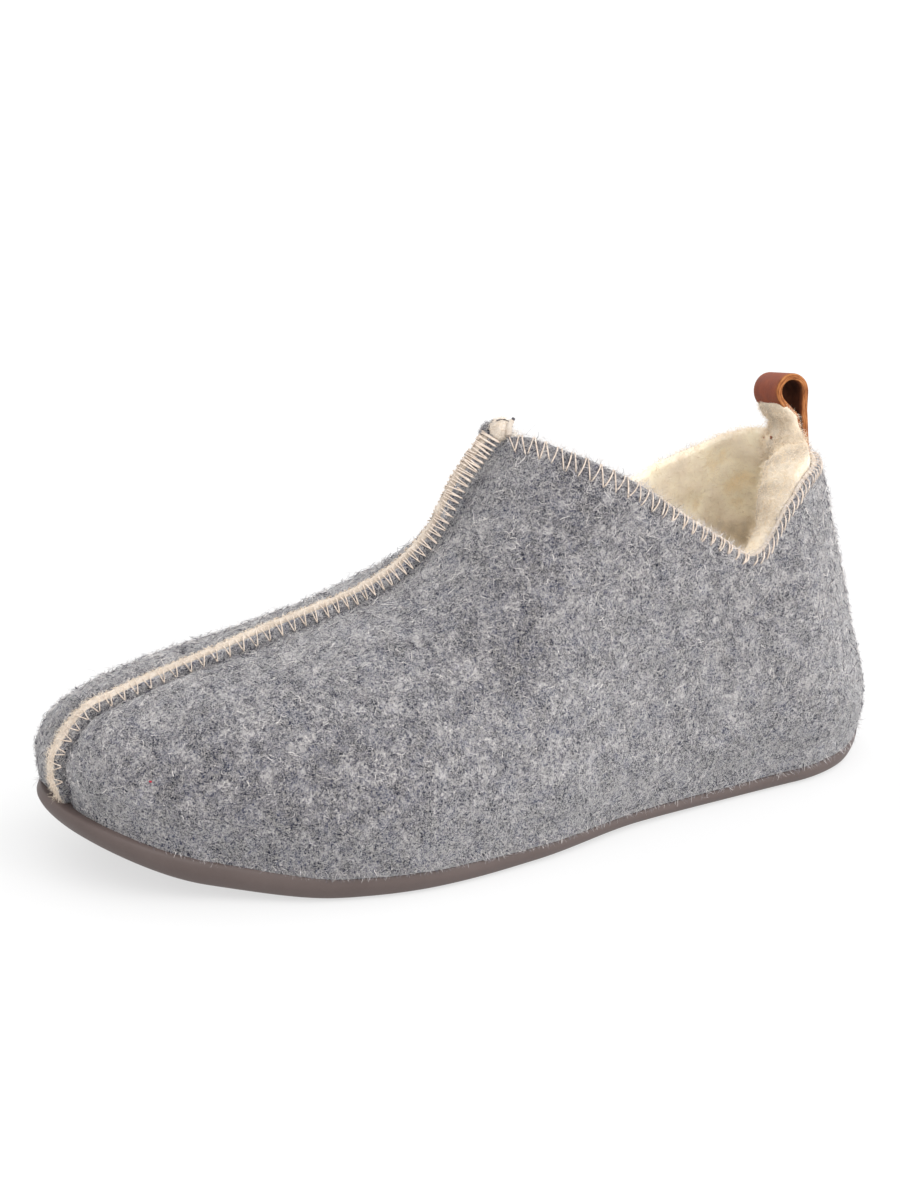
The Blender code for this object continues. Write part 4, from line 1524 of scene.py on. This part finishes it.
# Sewing
sewLook = {
    "thread": 0.00019,
    "steps": 9,
    # travel from the throat, distance from V to V, half opening of a V, thickness against the thread's
    "seamRow": (
        (0.000, 0.0014, 0.0004, 1.2),
        (0.016, 0.0016, 0.0004, 1.15),
        (0.035, 0.0023, 0.0006, 1.05),
        (0.060, 0.0028, 0.0008, 0.95),
        (0.085, 0.0036, 0.0011, 0.95),
        (0.100, 0.0041, 0.0013, 0.95),
        (0.200, 0.0039, 0.0013, 0.95),
    ),
    # share of a leg, distance to one side of the seam, height
    "seamLeg": (
        (0.00, 0.0009, 0.0041),
        (0.20, 0.0019, 0.0037),
        (0.42, 0.0030, 0.0028),
        (0.72, 0.0035, 0.0012),
        (1.00, 0.0040, 0.0000),
    ),
    # the same near the throat, where the thread is wrapped over the strip
    "wrapLeg": (
        (0.00, -0.0012, 0.0044),
        (0.25, 0.0006, 0.0046),
        (0.50, 0.0021, 0.0037),
        (0.62, 0.0030, 0.0031),
        (0.82, 0.0037, 0.0014),
        (1.00, 0.0044, -0.0003),
    ),
    "wrapReach": 0.045,
    # share of the way from the throat to the low point, distance from V to V, half opening, way down the
    # felt, thickness against the thread's
    "frontRow": (
        (0.00, 0.0043, 0.0020, 0.0060, 1.15),
        (0.45, 0.0042, 0.0018, 0.0058, 1.15),
        (0.75, 0.0038, 0.0008, 0.0042, 1.3),
        (1.00, 0.0032, 0.0005, 0.0028, 1.4),
    ),
    "frontSlant": 0.0029,  # how far the feet lie towards the throat
    "rearPitch": 0.0025,
    "rearSlant": 0.0036,
    "rearDepth": 0.0020,
    "edgeArc": 0.0041,  # way over the felt's cut edge
    "cordRadius": 0.0008,
    "cordStart": 0.50,
    "cordPlace": (-0.0023, -0.0001),  # way down the felt, height off it
    "cordEnd": 0.002,
    "cordSteps": 420,
    "cordUneven": (0.35, 0.0022, 42),  # share of the radius, size, seed
    "cordThin": (0.02, 0.1),  # way over which it grows to its full radius, share that it starts with
    "footSamples": 3000,
    "collarStart": 0.0004,  # how far behind the throat the collar is measured from
    "collarSamples": 900,
    "ladder": (0.1, 12),  # share of a row that is measured, steps
    "climbRow": 0.96,  # row from which the collar climbs
    "seamEnds": (0.0052, 0.004),  # bare seam at the throat and at the toe
    "seamScatter": (0.00015, 0.00022, 0.0001),  # spread of feet, tops and heights
    "wrapScatter": 0.0004,  # more spread of the tops where the thread is wrapped
    "frontEnds": (0.0045, 0.001),  # bare collar at the throat and before the low point
    "rearEnds": (0.002, 0.006),  # bare collar behind the low point and at the heel
    "edgeStart": (0.0018, 0.0034),  # way from the cut edge towards the lining, in front and at the back
    "rearThick": 1.2,
    "collarScatter": (0.00025, 0.00015),  # spread of tops and feet
    "depthScatter": (0.88, 1.12),
    "collarLift": (0.0005, 0.0007, 6),  # height off the felt at the top, loss to the foot, power
    "collarSwing": (0.6, 0.4),  # even and growing share of the way along the collar
    "threadScatter": (0.85, 1.15),
    "seed": 41,
}


def rowOfFeet(start, end, pitch):
    # places from start to end whose gaps follow a pitch that changes on the way
    at = np.linspace(start, end, sewLook["footSamples"])
    number = np.concatenate([[0], np.cumsum(np.diff(at) / pitch(at)[1:])])
    return np.interp(np.arange(0, number[-1]), number, at)


def seamStitches(side, rng):
    # V shapes from the strip's edge down the flank: close and thick at the throat, wide apart to the toe
    start, end = sewLook["seamEnds"]
    footSpread, topSpread, highSpread = sewLook["seamScatter"]
    feet = rowOfFeet(start, seamLength - end, lambda at: readTable(sewLook["seamRow"], 1, at))
    opening = readTable(sewLook["seamRow"], 2, feet)
    thick = np.tile(readTable(sewLook["seamRow"], 3, feet), 2)
    tops = np.concatenate([feet - opening, feet + opening])
    feet = np.concatenate([feet, feet]) + rng.normal(0, footSpread, tops.shape)
    wrap = ease(1 - tops / sewLook["wrapReach"])[:, None]
    tops = tops + rng.normal(0, 1, tops.shape) * (topSpread + sewLook["wrapScatter"] * wrap[:, 0])
    share = np.linspace(0, 1, sewLook["steps"])
    travel = tops[:, None] + (feet - tops)[:, None] * share
    wide, high = [
        (1 - wrap) * readTable(sewLook["seamLeg"], column, share)
        + wrap * readTable(sewLook["wrapLeg"], column, share)
        for column in (1, 2)
    ]
    wide = wide * readTable(flangeLook["spread"], 1, travel)
    high = high + rng.normal(0, highSpread, (len(tops), 1))
    return onSeam(travel, side * wide, high), thick


def collarTravel(side):
    # the collar edge from the throat to the heel: x against distance along the edge, and the length of a
    # whole row of felt there, measured on its uppermost part
    x = np.linspace(throatX - sewLook["collarStart"], 0.0, sewLook["collarSamples"])
    travel = travelAlong(feltPoint(x, np.ones_like(x), side))
    part, steps = sewLook["ladder"]
    ladder = feltPoint(x[None], np.linspace(1 - part, 1, steps)[:, None], side)
    rise = np.linalg.norm(np.diff(ladder, axis=0), axis=-1).sum(axis=0) / part
    return x, travel, rise


def onCollar(travel, down, lift, side):
    # a place by its distance along the collar, its way down the outside (less than 0: over the cut edge, in
    # half a turn, towards the lining) and its height off the felt
    x, reach, rise = collarTravel(side)
    spot = np.interp(travel, reach, x)
    row = 1 - np.maximum(down, 0) / np.interp(travel, reach, rise)
    point, outward = feltFrame(spot, row, side)
    below = feltPoint(spot, np.full_like(spot, sewLook["climbRow"]), side)
    climb = unit(feltPoint(spot, np.ones_like(spot), side) - below)
    half = feltShape["thickness"] / 2
    turn = np.clip(-down / sewLook["edgeArc"], 0, 1) * halfTurn
    sideways = np.cos(turn) * (half + lift) - half - feltLook["inset"]
    upward = np.sin(turn) * (feltLook["rimRound"] + lift)
    return point + outward * sideways[..., None] + climb * upward[..., None]


def collarStitches(side, rng):
    # V shapes along the front, closing towards the low point, and slanted strokes over the edge behind it
    x, reach, _ = collarTravel(side)
    turnAt = np.interp(-collarLow(side), -x, reach)
    start, end = sewLook["frontEnds"]
    front = rowOfFeet(start, turnAt - end, lambda at: readTable(sewLook["frontRow"], 1, at / turnAt))
    opening, frontDepth, frontThick = [readTable(sewLook["frontRow"], k, front / turnAt) for k in (2, 3, 4)]
    start, end = sewLook["rearEnds"]
    rear = np.arange(turnAt + start, reach[-1] - end, sewLook["rearPitch"])
    tops = np.concatenate([front - opening, front + opening, rear])
    feet = np.concatenate([np.tile(front - sewLook["frontSlant"], 2), rear - sewLook["rearSlant"]])
    depth = np.concatenate([np.tile(frontDepth, 2), np.full(len(rear), sewLook["rearDepth"])])
    thick = np.concatenate([np.tile(frontThick, 2), np.full(len(rear), sewLook["rearThick"])])
    above = -np.repeat(sewLook["edgeStart"], (2 * len(front), len(rear)))
    topSpread, footSpread = sewLook["collarScatter"]
    tops = tops + rng.normal(0, topSpread, tops.shape)
    feet = feet + rng.normal(0, footSpread, feet.shape)
    depth = depth * rng.uniform(*sewLook["depthScatter"], depth.shape)
    share = np.linspace(0, 1, sewLook["steps"])
    even, growing = sewLook["collarSwing"]
    travel = tops[:, None] + (feet - tops)[:, None] * (even * share + growing * share**2)
    down = above[:, None] + (depth - above)[:, None] * share
    off, loss, power = sewLook["collarLift"]
    return onCollar(travel, down, off - loss * share**power + 0 * travel, side), thick


def edgeCord(side):
    # a soft thread along the felt's inner corner, from half way down the front to the heel
    x, reach, _ = collarTravel(side)
    start = sewLook["cordStart"] * np.interp(-collarLow(side), -x, reach)
    travel = np.linspace(start, reach[-1] - sewLook["cordEnd"], sewLook["cordSteps"])
    line = onCollar(travel, *[np.full_like(travel, value) for value in sewLook["cordPlace"]], side)
    uneven, size, seed = sewLook["cordUneven"]
    growth, least = sewLook["cordThin"]
    radius = sewLook["cordRadius"] * (1 + uneven * woolNoise(line, size, seed))
    return line, radius * ease((travel - start) / growth + least)


def makeThreads(name, curves, radius, finish, sides=6):
    # round threads along the curves, as one piece
    points, faces = tubes(curves, radius, sides)
    makePiece(name, points, faces, finish, weld=weldReach["thread"])


def makeSewing():
    # both rows of stitches on both sides, and the cord under the collar's stitches
    rng = np.random.default_rng(sewLook["seed"])
    for name, stitches in (("seam_stitches", seamStitches), ("collar_stitches", collarStitches)):
        curves, thick = [np.concatenate(part) for part in zip(stitches(1, rng), stitches(-1, rng))]
        radius = sewLook["thread"] * thick * rng.uniform(*sewLook["threadScatter"], len(curves))
        makeThreads(name, curves, radius, paleThread)
    lines, radii = [np.stack(part) for part in zip(edgeCord(1), edgeCord(-1))]
    makeThreads("edge_cord", lines, radii, creamWool, sides=8)


# Thread ends at the throat
throatThreads = {
    "steps": 15,
    "arc": (25, 130),  # degrees round the bun
    "arcSide": (0.0006, 0.0022),
    "arcOff": (1.02, 1.04),  # against the bun's half axes out and along
    "arcRadius": 0.00017,
    "tailSide": 0.0030,
    "tailSunk": 0.0018,
    "tailLength": 0.0047,
    "tailRise": 0.0015,
    "tailBow": 0.0005,
    "tailRadius": (0.0011, 0.0004),  # at the root, loss to the tip
    "tip": (-0.0009, 0.0006),  # from and to, measured from the tail's end
    "tipRadius": 0.0005,
}


def makeThroatThreads():
    # a dark thread over the bun, and a tail of yarn beside it with a dark tip
    steps = throatThreads["steps"]
    along, _, out = bunLook["half"]
    outOff, alongOff = throatThreads["arcOff"]
    angles = np.radians(np.linspace(*throatThreads["arc"], steps))[:, None]
    arc = bunCentre + np.cos(angles) * out * outOff * throatOut
    arc = arc - np.sin(angles) * along * alongOff * throatAhead
    arc = arc + np.linspace(*throatThreads["arcSide"], steps)[:, None] * outerWay
    share = np.linspace(0, 1, steps)[:, None]
    base = bunCentre + throatThreads["tailSide"] * outerWay - throatThreads["tailSunk"] * throatOut
    rise = throatThreads["tailRise"] * share + throatThreads["tailBow"] * np.sin(halfTurn * share)
    tail = base - share * throatThreads["tailLength"] * throatAhead + rise * throatOut
    root, loss = throatThreads["tailRadius"]
    makeThreads("yarn_tail", tail[None], (root - loss * share[:, 0])[None], creamWool, sides=9)
    tip = tail[-1] + np.linspace(*throatThreads["tip"], steps)[:, None] * unit(tail[-1] - tail[-3])
    radii = np.repeat([[throatThreads["arcRadius"]], [throatThreads["tipRadius"]]], steps, axis=1)
    makeThreads("dark_threads", np.stack([arc, tip]), radii, darkThread)


makeSewing()
makeThroatThreads()
print("sewing ready")

# Stray specks of coloured wool
speckLook = {
    "half": 0.0005,
    "slant": np.array([0.8, 0.3, 0.5]),
    "radius": 0.00028,
    "steps": 7,
    "paler": 20,
    # name, slot, colour, places
    "specks": (
        ("red_speck", "felt", (164, 44, 58), ((0.2388, 0.0253, 0.0356),)),
        ("blue_speck", "felt", (40, 44, 66), ((0.2462, -0.0209, 0.0477),)),
        ("brown_specks", "fleece", (128, 66, 40), (
            (0.0278, -0.0076, 0.1003),
            (0.0290, -0.0016, 0.1023),
            (0.0283, -0.0026, 0.1019),
            (0.0286, -0.0021, 0.1016),
        )),
    ),
}


def makeSpecks():
    # each a short stub of thread along the same slanted line
    share = np.linspace(-1, 1, speckLook["steps"])[:, None]
    for name, slot, colour, places in speckLook["specks"]:
        curves = np.asarray(places)[:, None] + share * (speckLook["slant"] * speckLook["half"])
        finish = threadFinish(name, colour, tuple(part + speckLook["paler"] for part in colour))
        makeThreads(name, curves, np.full(len(places), speckLook["radius"]), finish)


makeSpecks()

# Loose wool; way gives the shares of the sheet's own normal and of straight down in a hair's direction
feltFuzz = {"count": 22000, "steps": 4, "length": (0.0016, 0.0040), "lift": (3, 40), "droop": 30, "curl": 2.6,
            "width": (0.00010, 0.00019), "sink": 0.00005, "way": (-1, 0), "tones": (0.08, 1.0), "seed": 51,
            "rimWeight": 0.4}
innerFuzz = {**feltFuzz, "seed": 52}
# pale hairs, many on the collar's rim: partly the felt's own pale hairs, partly painted rim light
feltHalo = {"count": 17000, "steps": 4, "length": (0.0014, 0.0036), "lift": (30, 80), "droop": 30,
            "curl": 1.4, "width": (0.00005, 0.00008), "sink": 0.00005, "way": (-1, 0), "tones": (0.7, 1.0),
            "seed": 55, "rimWeight": 9.0}
strayHairs = {"count": 170, "steps": 9, "length": (0.005, 0.011), "lift": (6, 45), "droop": 45, "curl": 2.2,
              "width": (0.00007, 0.00012), "sink": 0.00005, "way": (-1, 0), "tones": (0.5, 1.0), "seed": 56}
soleFringe = {"count": 2600, "steps": 4, "length": (0.0012, 0.0036), "lift": (35, 85), "droop": 25,
              "curl": 2.0, "width": (0.00008, 0.00015), "sink": 0.0001, "way": (-1, 1.1), "tones": (0.5, 1.1),
              "seed": 57, "rows": 3}
fleecePile = {"count": 24000, "steps": 4, "length": (0.0012, 0.0030), "lift": (15, 70), "droop": 50,
              "curl": 1.6, "width": (0.00006, 0.00012), "sink": 0.0003, "way": (1, 0), "tones": (0.0, 1.0),
              "seed": 53, "bareRows": 12, "rollWeight": 2.0, "toeFrom": 0.03, "toeWeight": 0.05,
              "heelWeight": 2, "heelFront": (0.062, -0.02), "heelFoot": (0.055, 0.02)}
tuftPile = {"count": 6000, "steps": 4, "length": (0.0016, 0.0046), "lift": (15, 80), "droop": 40, "curl": 2.0,
            "width": (0.00006, 0.00012), "sink": 0.0002, "way": (1, 0), "tones": (0.2, 1.0), "seed": 58}
stripFuzz = {"count": 7000, "steps": 4, "length": (0.0008, 0.0021), "lift": (5, 60), "droop": 35, "curl": 1.4,
             "width": (0.00007, 0.00012), "sink": 0.00005, "way": (-1, 0), "tones": (0.55, 1.0), "seed": 54}
toeFray = {"count": 160, "steps": 6, "length": (0.0015, 0.0042), "lift": (25, 85), "droop": 20, "curl": 1.6,
           "width": (0.00008, 0.00014), "sink": 0.0001, "way": (-0.6, 1), "tones": (0.55, 1.0), "seed": 60,
           "rings": 12}
bunFuzz = {"count": 700, "steps": 4, "length": (0.0008, 0.0020), "lift": (5, 60), "droop": 35, "curl": 1.4,
           "width": (0.00007, 0.00012), "sink": 0.00005, "way": (1, 0), "tones": (0.55, 1.0), "seed": 59}
cornerFuzz = {**bunFuzz, "tones": (0.0, 1.0), "seed": 61}


def makeHairs(name, sheet, spec, finish, weight=None):
    # hairs scattered over a sheet, more of them where the weight is higher
    roots, normal = scatter(sheet, spec["count"], spec["seed"], weight)
    out, down = spec["way"]
    ribbons, tone = fibres(roots, unit(out * normal - down * upright), spec)
    low, high = spec["tones"]
    marks = {"tone": low + (high - low) * tone}
    makePiece(name, ribbons, ribbonFaces(*ribbons.shape[:2]), finish, marks)


def feltWeight(spec):
    # even on the felt, the spec's own weight on the collar's rim, nothing on the closed seam
    weight = np.ones((len(feltSkin) + len(feltRim), feltSkin.shape[1]))
    weight[len(feltSkin) - 1:] = spec["rimWeight"] * np.where(feltSkin[-1, :, 0] < throatX, 1.0, 0.0)
    return weight


def pileWeight(sheet):
    # more on the roll over the collar and at the heel, hardly any deep in the toe
    x, _, z = np.moveaxis(sheet, -1, 0)
    weight = np.ones(sheet.shape[:2])
    weight[-len(liningRoll) - 1:] = fleecePile["rollWeight"]
    weight *= np.where(x > throatX + fleecePile["toeFrom"], fleecePile["toeWeight"], 1.0)
    heel = fleecePile["heelWeight"] * rising(x, *fleecePile["heelFront"]) * rising(z, *fleecePile["heelFoot"])
    return weight * (1 + heel)


def makeFuzz():
    # hairs on felt, fleece and strip, each kind on its own sheet
    felt = np.concatenate([feltSkin, feltRim])
    outer, inner = slice(0, len(stations)), slice(len(stations) - 1, None)
    weight = feltWeight(feltFuzz)
    makeHairs("felt_hairs_outer", felt[:, outer], feltFuzz, feltHairs, weight[:, outer])
    makeHairs("felt_hairs_inner", felt[:, inner], innerFuzz, feltHairs, weight[:, inner])
    makeHairs("felt_halo", felt, feltHalo, feltHairs, feltWeight(feltHalo))
    makeHairs("stray_hairs", feltSkin, strayHairs, feltHairs)
    makeHairs("sole_fringe", feltSkin[: soleFringe["rows"]], soleFringe, feltHairs)
    pile = np.concatenate([liningFace[fleecePile["bareRows"]:], liningRoll])
    makeHairs("fleece_pile", pile, fleecePile, fleeceHairs, pileWeight(pile))
    makeHairs("tuft_pile", tuftSkin[1:-1], tuftPile, fleeceHairs)
    makeHairs("strip_hairs", stripBody[1:-1], stripFuzz, fleeceHairs)
    makeHairs("strip_fray", stripBody[-toeFray["rings"]:-1], toeFray, fleeceHairs)
    makeHairs("bun_hairs", bunSkin, bunFuzz, fleeceHairs)
    makeHairs("corner_hairs", cornerSkin, cornerFuzz, feltHairs)


makeFuzz()
print("loose wool ready")

# Studio
studioLook = {
    "yaw": np.radians(24),
    "elevation": np.radians(21),
    "distance": 0.75,
    "target": (0.131, 0.0, 0.05),
    "lens": 75.3,
    "shift": (-20 / 1200, 46 / 1200),
    "floorHalf": 4.0,
    "skyStrength": 0.88,
    # name, place, size, power
    "lights": (
        ("keyLight", (-1.5, 0.8, 1.1), 2.4, 30),
        ("fillLight", (1.3, 0.9, 1.0), 2.4, 4),
        ("topLight", (-0.1, 1.2, 1.4), 1.6, 17),
        ("backLight", (0.3, -1.6, 1.0), 2.0, 9),
    ),
    "floorTone": 0.29,
    "floorGlow": (0.62, 0.78),  # near the shoe, far off
    "floorReach": (0.3, 1.3),
    "sensorWidth": 36,
}


def makeFloor(scene):
    # a wide pale square that glows a little more away from the shoe
    half = studioLook["floorHalf"]
    corners = [(-half, -half, 0), (half, -half, 0), (half, half, 0), (-half, half, 0)]
    mesh = bpy.data.meshes.new("floor")
    mesh.from_pydata(corners, [], [(0, 1, 2, 3)])
    floor = bpy.data.objects.new("floor", mesh)
    scene.collection.objects.link(floor)
    pale = Finish("paleFloor", roughness=0.9, specular=0.0)
    pale.put("Base Color", (*[studioLook["floorTone"]] * 3, 1))
    pale.put("Emission Color", (1, 1, 1, 1))
    away = pale.node("VectorMath", {0: pale.place()}, "Value", operation="LENGTH")
    pale.put("Emission Strength", pale.soft(away, *studioLook["floorReach"], *studioLook["floorGlow"]))
    mesh.materials.append(pale.material)


def makeLights(scene, aim):
    # an even white sky, and soft area lights that point at the shoe
    world = bpy.data.worlds.new("softStudio")
    scene.world = world
    world.use_nodes = True
    sky = world.node_tree.nodes["Background"]
    sky.inputs["Color"].default_value = (1, 1, 1, 1)
    sky.inputs["Strength"].default_value = studioLook["skyStrength"]
    for name, place, size, power in studioLook["lights"]:
        lamp = bpy.data.lights.new(name, "AREA")
        lamp.size = size
        lamp.energy = power
        holder = bpy.data.objects.new(name, lamp)
        holder.location = place
        holder.rotation_euler = (aim - holder.location).to_track_quat("-Z", "Y").to_euler()
        scene.collection.objects.link(holder)


def makeCamera(scene, aim):
    # on the outer side, turned to the toe by the yaw and raised by the elevation
    yaw, elevation = studioLook["yaw"], studioLook["elevation"]
    away = Vector((np.sin(yaw) * np.cos(elevation), np.cos(yaw) * np.cos(elevation), np.sin(elevation)))
    lensData = bpy.data.cameras.new("photoCamera")
    lensData.lens = studioLook["lens"]
    lensData.sensor_width = studioLook["sensorWidth"]
    lensData.shift_x, lensData.shift_y = studioLook["shift"]
    camera = bpy.data.objects.new("photoCamera", lensData)
    camera.location = aim + away * studioLook["distance"]
    camera.rotation_euler = (-away).to_track_quat("-Z", "Y").to_euler()
    scene.collection.objects.link(camera)
    scene.camera = camera


def makeStudio():
    # floor, lights and camera round the middle of the shoe
    scene = bpy.context.scene
    aim = Vector(heelPlace) + Vector(studioLook["target"])
    makeFloor(scene)
    makeLights(scene, aim)
    makeCamera(scene, aim)
    scene.view_settings.view_transform = "Standard"


makeStudio()
print("studio ready")
